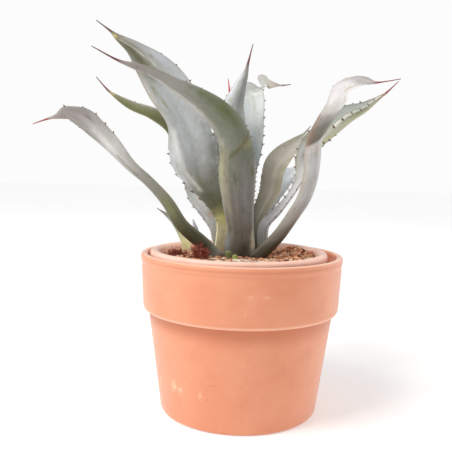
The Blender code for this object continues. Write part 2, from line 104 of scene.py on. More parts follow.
def add_world():
    """A white surround: bright where it is seen, softer where it lights the plant."""
    world = bpy.data.worlds.new("surround")
    bpy.context.scene.world = world
    world.use_nodes = True
    tree = world.node_tree
    tree.nodes.clear()
    seen = tree.nodes.new("ShaderNodeBackground")
    seen.inputs["Color"].default_value = SEEN_WHITE
    lighting = tree.nodes.new("ShaderNodeBackground")
    lighting.inputs["Color"].default_value = WHITE
    lighting.inputs["Strength"].default_value = WORLD_STRENGTH
    path = tree.nodes.new("ShaderNodeLightPath")
    mix = tree.nodes.new("ShaderNodeMixShader")
    out = tree.nodes.new("ShaderNodeOutputWorld")
    tree.links.new(path.outputs["Is Camera Ray"], mix.inputs["Fac"])
    tree.links.new(lighting.outputs[0], mix.inputs[1])
    tree.links.new(seen.outputs[0], mix.inputs[2])
    tree.links.new(mix.outputs[0], out.inputs["Surface"])
    bpy.context.scene.view_settings.view_transform = "Standard"


# ---------------------------------------------------------------- node helpers


class Nodes:
    """A material under construction, with short calls for the nodes that it uses."""

    def __init__(self, name, **settings):
        self.material = bpy.data.materials.new(name)
        self.material.use_nodes = True
        self.tree = self.material.node_tree
        self.shader = self.tree.nodes["Principled BSDF"]
        for socket, value in settings.items():
            self.shader.inputs[socket.replace("_", " ")].default_value = value

    def add(self, kind, **settings):
        node = self.tree.nodes.new(kind)
        for name, value in settings.items():
            setattr(node, name, value)
        return node

    def put(self, value, socket):
        """Links a node's output to a socket, or sets the socket to a plain value."""
        if isinstance(value, bpy.types.NodeSocket):
            self.tree.links.new(value, socket)
        else:
            socket.default_value = value

    def place(self):
        """The place on the object, in metres."""
        return self.add("ShaderNodeTexCoord").outputs["Object"]

    def attribute(self, name, output="Fac"):
        return self.add("ShaderNodeAttribute", attribute_name=name).outputs[output]

    def scaled(self, vector, scale):
        node = self.add("ShaderNodeVectorMath", operation="MULTIPLY")
        self.put(vector, node.inputs[0])
        self.put(scale, node.inputs[1])
        return node.outputs[0]

    def noise(self, vector, scale, detail=3.0, roughness=0.55):
        """Cloudy noise, with one scale or with one for each axis."""
        if isinstance(scale, tuple):
            vector, scale = self.scaled(vector, scale), 1.0
        node = self.add("ShaderNodeTexNoise")
        self.put(vector, node.inputs["Vector"])
        node.inputs["Scale"].default_value = scale
        node.inputs["Detail"].default_value = detail
        node.inputs["Roughness"].default_value = roughness
        return node.outputs["Fac"]

    def ramp(self, value, low, high, out_low=0.0, out_high=1.0):
        """The value carried smoothly from one range to another."""
        node = self.add("ShaderNodeMapRange", interpolation_type="SMOOTHSTEP")
        self.put(value, node.inputs["Value"])
        limits = {"From Min": low, "From Max": high, "To Min": out_low, "To Max": out_high}
        for socket, limit in limits.items():
            node.inputs[socket].default_value = limit
        return node.outputs["Result"]

    def math(self, operation, first, second=0.0):
        node = self.add("ShaderNodeMath", operation=operation)
        self.put(first, node.inputs[0])
        self.put(second, node.inputs[1])
        return node.outputs[0]

    def mix(self, share, first, second, blend="MIX"):
        """Two colours mixed by a share."""
        node = self.add("ShaderNodeMix", data_type="RGBA", blend_type=blend)
        self.put(share, node.inputs[0])
        for socket, value in ((node.inputs[6], first), (node.inputs[7], second)):
            self.put(value if isinstance(value, bpy.types.NodeSocket) else (*value, 1.0), socket)
        return node.outputs[2]

    def bump(self, height, strength, distance):
        node = self.add("ShaderNodeBump")
        node.inputs["Strength"].default_value = strength
        node.inputs["Distance"].default_value = distance
        self.put(height, node.inputs["Height"])
        self.tree.links.new(node.outputs[0], self.shader.inputs["Normal"])

    def near(self, point, radius, stretch=(1.0, 1.0, 1.0)):
        """1 at a point, fading to 0 a radius away, with each axis stretched by its own factor."""
        offset = self.add("ShaderNodeVectorMath", operation="SUBTRACT")
        self.put(self.place(), offset.inputs[0])
        offset.inputs[1].default_value = point
        length = self.add("ShaderNodeVectorMath", operation="LENGTH")
        self.put(self.scaled(offset.outputs[0], stretch), length.inputs[0])
        return self.ramp(length.outputs["Value"], 0.0, radius, 1.0, 0.0)

    def finish(self, colour):
        self.put(colour, self.shader.inputs["Base Color"])
        return self.material


# ---------------------------------------------------------------- mesh helpers


def add_mesh(name, points, faces, materials, slots=None, smooth=True):
    """A mesh object that rides on the plant's body."""
    mesh = bpy.data.meshes.new(name)
    mesh.from_pydata([tuple(p) for p in points], [], faces)
    for material in materials:
        mesh.materials.append(material)
    if slots is not None:
        mesh.polygons.foreach_set("material_index", slots)
    mesh.polygons.foreach_set("use_smooth", [smooth] * len(mesh.polygons))
    mesh.update()
    made = bpy.data.objects.new(name, mesh)
    bpy.context.scene.collection.objects.link(made)
    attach(made, BODY)
    return made


def store(mesh, name, values, kind="FLOAT"):
    """Writes one number, vector or colour for each point of a mesh."""
    made = mesh.attributes.new(name, kind, "POINT")
    field = {"FLOAT": "value", "FLOAT_VECTOR": "vector", "FLOAT_COLOR": "color"}[kind]
    made.data.foreach_set(field, np.asarray(values, dtype=np.float32).ravel())


def quads_between(here, there, count):
    """Faces between two rows with the same number of points, from the place of each row's first point."""
    return [(here + k, here + (k + 1) % count, there + (k + 1) % count, there + k) for k in range(count)]


def add_tube(points, faces, rows, foot=True):
    """Adds a tube through equal rows of points, closed at its end and, if it has one, at its foot."""
    start, count = len(points), len(rows[0])
    points += [point for row in rows for point in row]
    end = start + (len(rows) - 1) * count
    for here in range(start, end, count):
        faces += quads_between(here, here + count, count)
    if foot:
        faces.append(tuple(reversed(range(start, start + count))))
    faces.append(tuple(range(end, end + count)))


def smoothstep(low, high, value):
    share = min(1.0, max(0.0, (value - low) / (high - low)))
    return share * share * (3.0 - 2.0 * share)


# ---------------------------------------------------------------- pots

COVER_HEIGHT = 0.1477
COVER_RIM_RADIUS = 0.095
COVER_BAND_BOTTOM = 0.0956
COVER_BAND_BOTTOM_RADIUS = 0.0922
COVER_BODY_TOP_RADIUS = 0.0873
COVER_BASE_RADIUS = 0.0742
COVER_WALL = 0.0062
COVER_FLOOR = 0.009
NURSERY_OFFSET = Vector((-0.003, -0.0022, COVER_FLOOR + GAP))
NURSERY_HEIGHT = 0.1413
NURSERY_RIM_RADIUS = 0.0835
NURSERY_RIM_WALL = 0.0086
NURSERY_COLLAR_DEPTH = 0.038
NURSERY_COLLAR_BOTTOM_RADIUS = 0.0816
NURSERY_BODY_TOP_RADIUS = 0.0772
NURSERY_BASE_RADIUS = 0.062
NURSERY_WALL = 0.0066
NURSERY_FLOOR = 0.008
NURSERY_DRAIN_RADIUS = 0.009
POT_SEGMENTS = 240
POT_LONGEST_STEP = 0.004
POT_SHARP_ANGLE = math.radians(50)
LIP_DEPTH = 0.0075
AXIS_GAP = 0.0005


def rounded_profile(corners, steps=7):
    """A closed profile from (radius, z, rounding) corners; a rounding of 0 stays sharp."""
    profile = []
    for index, (radius, z, rounding) in enumerate(corners):
        corner = Vector((radius, z))
        if not rounding:
            profile.append((radius, z))
            continue
        before = Vector(corners[index - 1][:2])
        after = Vector(corners[(index + 1) % len(corners)][:2])
        start = corner + (before - corner).normalized() * rounding
        end = corner + (after - corner).normalized() * rounding
        for step in range(steps + 1):
            share = step / steps
            point = start * (1 - share) ** 2 + corner * 2 * share * (1 - share) + end * share**2
            profile.append((point.x, point.y))
    return profile


def refined(profile, longest):
    """The profile with points added so that no straight stretch is longer than a limit."""
    fine = []
    for (r0, z0), (r1, z1) in zip(profile, profile[1:] + profile[:1]):
        pieces = max(1, math.ceil(math.hypot(r1 - r0, z1 - z0) / longest))
        fine += [(r0 + (r1 - r0) * k / pieces, z0 + (z1 - z0) * k / pieces) for k in range(pieces)]
    return fine


def add_turned(name, profile, origin, material, wobble, node):
    """A turned pot from a closed profile, very slightly uneven as a thrown pot is."""
    rings = []
    for radius, z in refined(profile, POT_LONGEST_STEP):
        ring = []
        for step in range(POT_SEGMENTS):
            angle = math.tau * step / POT_SEGMENTS
            round_place = Vector((math.cos(angle) * 1.3, math.sin(angle) * 1.3, z * 9.0 + wobble * 7.0))
            true_radius = radius * (1.0 + 0.0006 * noise.noise(round_place) - 0.0004)
            ring.append(Vector((true_radius * math.cos(angle), true_radius * math.sin(angle), z)) + origin)
        rings.append(ring)
    points = [point for ring in rings for point in ring]
    faces = []
    for index in range(len(rings)):
        faces += quads_between(index * POT_SEGMENTS, (index + 1) % len(rings) * POT_SEGMENTS, POT_SEGMENTS)
    made = add_mesh(name, points, faces, [material])
    made.data.set_sharp_from_angle(angle=POT_SHARP_ANGLE)
    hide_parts(node)


def terracotta(name, base, light, dark, blemishes=(), painted_light=()):
    """Fired clay: faint turning marks, cloudy colour, pores, a few blemishes, and painted highlights and
    shade at set levels.
    """
    nodes = Nodes(name, Roughness=0.5, Specular_IOR_Level=0.5, Sheen_Weight=0.35, Sheen_Roughness=0.4)
    place = nodes.place()
    cloud = nodes.noise(place, 26.0, 4.0)
    rings = nodes.noise(place, (4.0, 4.0, 260.0), 3.0)
    grain = nodes.noise(place, 900.0, 2.0)
    pores = nodes.ramp(nodes.noise(place, 420.0, 2.0, 0.7), 0.68, 0.78)
    colour = nodes.mix(nodes.ramp(cloud, 0.3, 0.7), base, light)
    colour = nodes.mix(nodes.ramp(rings, 0.45, 0.75, 0.0, 0.35), colour, light)
    colour = nodes.mix(nodes.ramp(nodes.noise(place, 60.0, 4.0), 0.5, 0.8, 0.0, 0.45), colour, dark)
    colour = nodes.mix(nodes.math("MULTIPLY", pores, 0.35), colour, dark)
    for point, radius, stretch, mark, strength in blemishes:
        patchy = nodes.ramp(nodes.noise(place, 520.0, 3.0), 0.38, 0.6)
        share = nodes.math("MULTIPLY", nodes.near(point, radius, stretch), patchy)
        colour = nodes.mix(nodes.math("MULTIPLY", share, strength), colour, mark)
    # Painted highlights and shade, each between two levels.
    for low, high, fade, mark, strength in painted_light:
        level = nodes.add("ShaderNodeSeparateXYZ")
        nodes.put(place, level.inputs[0])
        rise = nodes.ramp(level.outputs["Z"], low - fade[0], low)
        fall = nodes.ramp(level.outputs["Z"], high, high + fade[1], 1.0, 0.0)
        share = nodes.math("MULTIPLY", nodes.math("MULTIPLY", rise, fall), strength)
        colour = nodes.mix(share, colour, mark)
    height = nodes.math("ADD", nodes.math("MULTIPLY", rings, 0.6), nodes.math("MULTIPLY", grain, 0.25))
    nodes.bump(height, 0.25, 0.0006)
    return nodes.finish(colour)


PALE_MARK = (0.93, 0.62, 0.42)
BROWN_MARK = (0.30, 0.12, 0.07)
# Levels of painted highlight and shade on the cover pot: low, high, (fade below, fade above), colour,
# strength
COVER_PAINTED_LIGHT = (
    # Painted highlight on the rim's top.
    (0.1474, 0.1482, (0.0006, 0.0008), (0.92, 0.60, 0.44), 0.7),
    # Painted shade below the rim's rounded top.
    (0.1432, 0.1440, (0.0012, 0.0012), (0.60, 0.20, 0.095), 0.5),
    # Painted highlight on the band's lower edge.
    (0.0962, 0.0972, (0.0006, 0.0020), (0.90, 0.50, 0.34), 0.7),
    # Painted shadow under the band, fading downwards.
    (0.0930, 0.0950, (0.0170, 0.0004), (0.55, 0.165, 0.070), 0.75),
)
# Blemishes: place, reach, stretch along each axis, colour, strength
COVER_BLEMISHES = (
    ((-0.0562, -0.0556, 0.0352), 0.0058, (1.0, 1.0, 0.8), PALE_MARK, 0.9),
    ((-0.0503, -0.0607, 0.0338), 0.0045, (1.0, 1.0, 1.0), PALE_MARK, 0.9),
    ((-0.0705, -0.0352, 0.0337), 0.0050, (1.0, 1.0, 0.7), PALE_MARK, 0.6),
    ((-0.0320, -0.0720, 0.0335), 0.0030, (1.0, 1.0, 0.5), PALE_MARK, 0.6),
    ((0.0076, -0.0934, 0.1238), 0.0035, (0.6, 1.0, 1.6), PALE_MARK, 0.35),
    ((0.0220, -0.0911, 0.1237), 0.0035, (0.6, 1.0, 1.6), PALE_MARK, 0.35),
    ((0.0040, -0.0929, 0.1097), 0.0030, (1.6, 1.0, 0.6), PALE_MARK, 0.3),
    ((-0.0259, -0.0741, 0.0310), 0.0016, (1.0, 1.0, 1.0), BROWN_MARK, 0.7),
    ((0.0732, -0.0396, 0.0662), 0.0015, (1.0, 1.0, 1.0), BROWN_MARK, 0.7),
    ((-0.0128, -0.0754, 0.0163), 0.0013, (1.0, 1.0, 1.0), BROWN_MARK, 0.6),
    ((-0.0218, -0.0773, 0.0446), 0.0030, (0.5, 1.0, 2.4), BROWN_MARK, 0.35),
    ((0.0016, -0.0805, 0.0457), 0.0034, (0.5, 1.0, 2.6), BROWN_MARK, 0.3),
)


def add_pots():
    """The banded cover pot and the paler nursery pot inside it."""
    shades = (0.74, 0.275, 0.145), (0.78, 0.315, 0.175), (0.68, 0.235, 0.115)
    orange = terracotta("terracotta_orange", *shades, COVER_BLEMISHES, COVER_PAINTED_LIGHT)
    pink = terracotta("terracotta_pink", (0.88, 0.53, 0.41), (0.92, 0.60, 0.49), (0.80, 0.40, 0.28))
    bore = COVER_RIM_RADIUS - COVER_WALL
    lip_low = COVER_HEIGHT - LIP_DEPTH
    slope = (COVER_RIM_RADIUS - COVER_BAND_BOTTOM_RADIUS) / (COVER_HEIGHT - COVER_BAND_BOTTOM)
    lip_radius = COVER_RIM_RADIUS - slope * LIP_DEPTH
    cover = rounded_profile((
        (COVER_BASE_RADIUS, 0.0, 0.0034),
        (COVER_BODY_TOP_RADIUS, COVER_BAND_BOTTOM + 0.0004, 0.0016),
        (COVER_BAND_BOTTOM_RADIUS - 0.0012, COVER_BAND_BOTTOM, 0.0014),
        (COVER_BAND_BOTTOM_RADIUS, COVER_BAND_BOTTOM + 0.0030, 0.0018),
        (lip_radius - 0.0006, lip_low - 0.0045, 0.0010),
        (lip_radius - 0.0011, lip_low - 0.0014, 0.0012),
        (lip_radius - 0.0001, lip_low + 0.0008, 0.0010),
        (COVER_RIM_RADIUS, COVER_HEIGHT, 0.0030),
        (bore, COVER_HEIGHT, 0.0024),
        (COVER_BAND_BOTTOM_RADIUS - COVER_WALL, COVER_BAND_BOTTOM + 0.005, 0.002),
        (COVER_BODY_TOP_RADIUS - COVER_WALL, COVER_BAND_BOTTOM - 0.005, 0.002),
        (COVER_BASE_RADIUS - COVER_WALL, COVER_FLOOR, 0.004),
        (AXIS_GAP, COVER_FLOOR, 0.0),
        (AXIS_GAP, 0.0, 0.0),
    ))
    add_turned("cover_pot_clay", cover, Vector(), orange, 0.0, "cover_pot")
    collar_bottom = NURSERY_HEIGHT - NURSERY_COLLAR_DEPTH
    nursery = rounded_profile((
        (NURSERY_DRAIN_RADIUS, 0.0, 0.0),
        (NURSERY_BASE_RADIUS, 0.0, 0.003),
        (NURSERY_BODY_TOP_RADIUS, collar_bottom, 0.0),
        (NURSERY_COLLAR_BOTTOM_RADIUS, collar_bottom, 0.0015),
        (NURSERY_RIM_RADIUS, NURSERY_HEIGHT, NURSERY_RIM_WALL * 0.48),
        (NURSERY_RIM_RADIUS - NURSERY_RIM_WALL, NURSERY_HEIGHT, NURSERY_RIM_WALL * 0.48),
        (NURSERY_BODY_TOP_RADIUS - NURSERY_WALL, collar_bottom, 0.003),
        (NURSERY_BASE_RADIUS - NURSERY_WALL, NURSERY_FLOOR, 0.003),
        (NURSERY_DRAIN_RADIUS, NURSERY_FLOOR, 0.0),
    ))
    add_turned("nursery_pot_clay", nursery, NURSERY_OFFSET, pink, 3.0, "nursery_pot")


# ---------------------------------------------------------------- leaves

SOIL_LEVEL = 0.1458
SOIL_EDGE_DROP = 0.0022
STEM_TOP = 0.1585
LEAF_FOOT = SOIL_LEVEL + GAP
CROWN_FOOT = STEM_TOP + GAP
CHANNEL_POWER = 1.6
SPINE_THICKNESS = 0.0006
RING_SPACING = 0.0012
ACROSS_STEPS = 24
PATCH_LIMIT = 3.0
PATCH_FALLOFF = 1.6
PATCH_RAGGEDNESS = 0.5
ARMED_FROM = (0.7, 1.6)
SPINE_BLEND = (-0.35, 0.15)
LAST_TEETH = (-1.1, -0.3)
TOOTH_BUMP_WIDTH = 0.17
MARGIN_WAVE = 0.0005
MARGIN_LINE = (0.0013, 0.0002)
FACE_OFFSET = 0.03
STATION_LENGTH = 0.020
MARGIN_START = 0.9
TOOTH_SIDES = 5
TOOTH_ROWS = ((-0.30, 0.46), (0.12, 0.33), (0.55, 0.16), (1.0, 0.02))
TOOTH_TINT = (0.1, 0.05, 0.04, 1.0)


class Leaf(NamedTuple):
    """A leaf: (x, y, z, half width) stations from foot to spine tip, and the ways its upper face looks."""

    stations: tuple
    facings: tuple
    channel: float = 0.45
    thickness: float = 0.0055


LEAVES = {
    "leaf_front": Leaf(
        stations=(
            (-0.003, -0.019, LEAF_FOOT, 0.012), (-0.0015, -0.026, 0.17, 0.012),
            (-0.004, -0.032, 0.193, 0.0145), (-0.006, -0.038, 0.2195, 0.017),
            (-0.007, -0.043, 0.2415, 0.0155), (-0.0125, -0.0475, 0.26, 0.0135),
            (-0.0255, -0.0515, 0.274, 0.012), (-0.0415, -0.0555, 0.285, 0.009),
            (-0.0585, -0.0595, 0.294, 0.006), (-0.0755, -0.063, 0.3025, 0.004),
            (-0.0905, -0.066, 0.3075, 0.003), (-0.1045, -0.069, 0.3115, 0.0011),
            (-0.126, -0.073, 0.322, 0.0003),
        ),
        facings=((0.0, 1.0, 0.0), (0.05, 1.0, 0.0), (0.1, 0.95, 0.15)), channel=0.38,
    ),
    "leaf_far_left": Leaf(
        stations=(
            (-0.026, -0.0235, LEAF_FOOT, 0.01), (-0.0385, -0.027, 0.1585, 0.0095),
            (-0.0555, -0.031, 0.174, 0.0085), (-0.0685, -0.036, 0.195, 0.0075),
            (-0.084, -0.04, 0.2125, 0.0065), (-0.0995, -0.044, 0.2255, 0.0075),
            (-0.117, -0.048, 0.2435, 0.0115), (-0.13, -0.052, 0.2555, 0.0135),
            (-0.1395, -0.055, 0.2635, 0.013), (-0.1505, -0.058, 0.2685, 0.007),
            (-0.1585, -0.0595, 0.266, 0.0025), (-0.166, -0.0605, 0.264, 0.0009),
            (-0.178, -0.062, 0.2595, 0.0003),
        ),
        facings=((0.6, 0.7, 0.4), (0.5, 0.7, 0.5), (0.45, 0.7, 0.55), (0.3, 0.75, 0.6), (0.05, 0.8, 0.6)),
        channel=0.35, thickness=0.0045,
    ),
    "leaf_left": Leaf(
        stations=(
            (-0.021, -0.009, LEAF_FOOT, 0.007), (-0.019, -0.008, 0.177, 0.007),
            (-0.0255, -0.006, 0.1935, 0.011), (-0.036, -0.002, 0.21, 0.0165),
            (-0.045, 0.003, 0.2265, 0.0225), (-0.0495, 0.007, 0.245, 0.023), (-0.06, 0.015, 0.2755, 0.021),
            (-0.076, 0.023, 0.3015, 0.022), (-0.093, 0.031, 0.3235, 0.0175), (-0.112, 0.039, 0.3425, 0.009),
            (-0.1295, 0.0445, 0.355, 0.004), (-0.1385, 0.047, 0.3625, 0.0013),
            (-0.154, 0.052, 0.374, 0.0004),
        ),
        facings=((0.7, -0.7, 0.0), (0.35, -0.95, 0.1), (0.3, -0.95, 0.2), (0.3, -0.9, 0.35)), channel=0.28,
    ),
    "leaf_back_left": Leaf(
        stations=(
            (-0.023, 0.009, LEAF_FOOT, 0.0065), (-0.0265, 0.015, 0.169, 0.009),
            (-0.0355, 0.02, 0.1855, 0.0125), (-0.0445, 0.025, 0.2, 0.0155), (-0.0505, 0.033, 0.2205, 0.015),
            (-0.0585, 0.044, 0.2435, 0.0145), (-0.0745, 0.057, 0.2675, 0.0115),
            (-0.0975, 0.066, 0.2815, 0.0085), (-0.121, 0.074, 0.2905, 0.007), (-0.139, 0.08, 0.301, 0.0035),
            (-0.1485, 0.084, 0.308, 0.0013), (-0.1635, 0.09, 0.3235, 0.0004),
        ),
        facings=((0.7, -0.7, 0.0), (0.5, -0.8, 0.2), (0.35, -0.75, 0.5), (0.15, -0.5, 0.85)), channel=0.3,
        thickness=0.0045,
    ),
    "leaf_front_right": Leaf(
        stations=(
            (0.015, -0.023, LEAF_FOOT, 0.007), (0.0325, -0.029, 0.166, 0.0065),
            (0.0455, -0.033, 0.186, 0.0065), (0.055, -0.0355, 0.2025, 0.0075),
            (0.0605, -0.036, 0.221, 0.009), (0.062, -0.0355, 0.238, 0.01), (0.0625, -0.038, 0.2515, 0.0095),
            (0.07, -0.048, 0.269, 0.01), (0.077, -0.058, 0.28, 0.0115), (0.082, -0.066, 0.2915, 0.0125),
            (0.0885, -0.074, 0.2955, 0.0095), (0.0945, -0.08, 0.297, 0.0035),
            (0.1015, -0.085, 0.2955, 0.0009), (0.1175, -0.095, 0.297, 0.0003),
        ),
        facings=((-0.4, 0.9, 0.1), (-0.6, 0.75, 0.15), (-0.6, 0.7, 0.25), (-0.35, 0.85, 0.2)), channel=0.35,
        thickness=0.005,
    ),
    "leaf_right": Leaf(
        stations=(
            (0.0215, -0.006, LEAF_FOOT, 0.006), (0.021, -0.007, 0.1735, 0.0055),
            (0.033, -0.0055, 0.1885, 0.0045), (0.046, -0.003, 0.206, 0.0035), (0.054, 0.0, 0.221, 0.006),
            (0.059, 0.003, 0.2365, 0.0105), (0.067, 0.006, 0.2515, 0.0125), (0.0835, 0.0095, 0.2665, 0.012),
            (0.0975, 0.013, 0.278, 0.0115), (0.1115, 0.0165, 0.2855, 0.008), (0.1235, 0.0195, 0.294, 0.004),
            (0.134, 0.022, 0.3025, 0.0012), (0.147, 0.026, 0.315, 0.0003),
        ),
        facings=((-0.7, -0.7, 0.1), (-0.6, -0.75, 0.2), (-0.45, -0.75, 0.45), (-0.3, -0.6, 0.7)),
        channel=0.5, thickness=0.005,
    ),
    "leaf_back_right": Leaf(
        stations=(
            (0.016, 0.0105, LEAF_FOOT, 0.0055), (0.014, 0.0135, 0.1755, 0.0075),
            (0.0215, 0.019, 0.192, 0.0095), (0.0285, 0.026, 0.205, 0.012), (0.031, 0.032, 0.22, 0.0125),
            (0.0355, 0.038, 0.232, 0.0135), (0.0415, 0.043, 0.241, 0.012), (0.0495, 0.048, 0.25, 0.009),
            (0.0565, 0.0515, 0.2585, 0.005), (0.061, 0.054, 0.265, 0.0015), (0.0675, 0.057, 0.273, 0.0004),
        ),
        facings=((-0.5, -0.85, 0.1), (-0.5, -0.85, 0.2), (-0.4, -0.7, 0.5)), channel=0.5, thickness=0.0045,
    ),
    "leaf_far_back": Leaf(
        stations=(
            (0.0035, 0.0215, LEAF_FOOT, 0.0075), (0.018, 0.036, 0.179, 0.0085),
            (0.032, 0.05, 0.1995, 0.0095), (0.043, 0.064, 0.215, 0.0115), (0.0495, 0.08, 0.2255, 0.014),
            (0.0535, 0.1, 0.2305, 0.017), (0.0565, 0.122, 0.231, 0.0085), (0.059, 0.142, 0.2265, 0.004),
            (0.0595, 0.153, 0.224, 0.0012), (0.0615, 0.168, 0.2185, 0.0004),
        ),
        facings=((-0.4, -0.9, 0.1), (-0.4, -0.7, 0.6), (-0.15, -0.1, 1.0)), channel=0.3, thickness=0.0045,
    ),
    "leaf_back": Leaf(
        stations=(
            (0.0025, 0.0095, CROWN_FOOT, 0.0035), (0.0015, 0.029, 0.191, 0.0065),
            (0.0035, 0.04, 0.2235, 0.0095), (0.0065, 0.043, 0.251, 0.012), (0.0065, 0.051, 0.281, 0.013),
            (0.0065, 0.057, 0.2995, 0.013), (0.0055, 0.061, 0.307, 0.0115), (0.015, 0.0665, 0.312, 0.0025),
            (0.0185, 0.07, 0.3175, 0.0085), (0.024, 0.075, 0.317, 0.0065), (0.0315, 0.08, 0.317, 0.0035),
            (0.0385, 0.084, 0.3175, 0.001), (0.048, 0.09, 0.3195, 0.0004),
        ),
        facings=((0.0, -1.0, 0.0), (0.0, -1.0, 0.1), (-0.2, -0.6, 0.75)), channel=0.22, thickness=0.0035,
    ),
    "leaf_centre": Leaf(
        stations=(
            (-0.006, -0.006, CROWN_FOOT, 0.004), (-0.0075, -0.002, 0.1745, 0.006),
            (-0.0105, 0.006, 0.198, 0.0105), (-0.015, 0.014, 0.2345, 0.0185),
            (-0.016, 0.0195, 0.2635, 0.017), (-0.0135, 0.022, 0.2875, 0.0115),
            (-0.008, 0.023, 0.3035, 0.0075), (-0.002, 0.023, 0.318, 0.0035), (0.001, 0.023, 0.328, 0.0013),
            (0.0055, 0.022, 0.347, 0.0003),
        ),
        facings=((0.0, 1.0, 0.0), (0.25, 1.0, 0.0), (0.4, 1.0, 0.0)), channel=0.35, thickness=0.0035,
    ),
    "leaf_bud": Leaf(
        stations=(
            (-0.0055, 0.0015, CROWN_FOOT, 0.003), (-0.0065, 0.018, 0.207, 0.007),
            (-0.01, 0.029, 0.251, 0.008), (-0.013, 0.034, 0.2835, 0.0045), (-0.016, 0.0355, 0.3005, 0.0013),
            (-0.018, 0.036, 0.3155, 0.0003),
        ),
        facings=((0.0, 1.0, 0.0), (0.0, 1.0, 0.0)), channel=0.3, thickness=0.0028,
    ),
    "offset_leaf_long": Leaf(
        stations=(
            (-0.0545, 0.017, LEAF_FOOT, 0.005), (-0.0565, 0.017, 0.155, 0.005),
            (-0.061, 0.018, 0.164, 0.0045), (-0.0675, 0.019, 0.1735, 0.0035), (-0.075, 0.02, 0.18, 0.002),
            (-0.08, 0.0205, 0.1835, 0.0009), (-0.085, 0.021, 0.1865, 0.0003),
        ),
        facings=((0.5, -0.8, 0.3), (0.4, -0.8, 0.4)), channel=0.35, thickness=0.003,
    ),
    "offset_leaf_short": Leaf(
        stations=(
            (-0.042, 0.016, LEAF_FOOT, 0.004), (-0.044, 0.016, 0.1595, 0.004),
            (-0.046, 0.017, 0.168, 0.0025), (-0.049, 0.018, 0.177, 0.0003),
        ),
        facings=((-0.3, -0.8, 0.1), (-0.2, -0.9, 0.2)), channel=0.3, thickness=0.003,
    ),
}


class Patch(NamedTuple):
    """A soft patch of colour: its place along (in stations) and across (-1 to 1), and its reach both ways."""

    station: float
    across: float
    reach_along: float
    reach_across: float
    colour: tuple
    strength: float = 0.8


class Stroke(NamedTuple):
    """A line of colour over a leaf, from one (station, across) to another, with its half width in metres.

    With waves, the line runs in that many scallops, each rising by the wave height.
    """

    start: tuple
    end: tuple
    width: float
    colour: tuple
    strength: float = 0.8
    waves: int = 0
    wave_height: float = 0.0


class Fold(NamedTuple):
    """A ridge along a leaf: its stations, its places across at both ends, its reach across and its height."""

    first: float
    last: float
    across_first: float
    across_last: float
    reach: float
    height: float


class Look(NamedTuple):
    """How one leaf looks.

    Keys are (station, colour), slanted across the leaf by the skew. Bare stretches, which have no teeth, are
    (margin, first station, last station). Extra teeth are (station, across, size). Bulges, which widen the
    leaf, are (margin, station, reach, height). A margin is 1 or -1.
    """

    keys: tuple
    spacing: float = 0.0085
    tooth: float = 0.0017
    scallop: float = 0.0006
    patches: tuple = ()
    strokes: tuple = ()
    folds: tuple = ()
    bare: tuple = ()
    extra_teeth: tuple = ()
    skew: float = 0.0
    bulges: tuple = ()
    spine: tuple = (0.15, 0.05, 0.05)


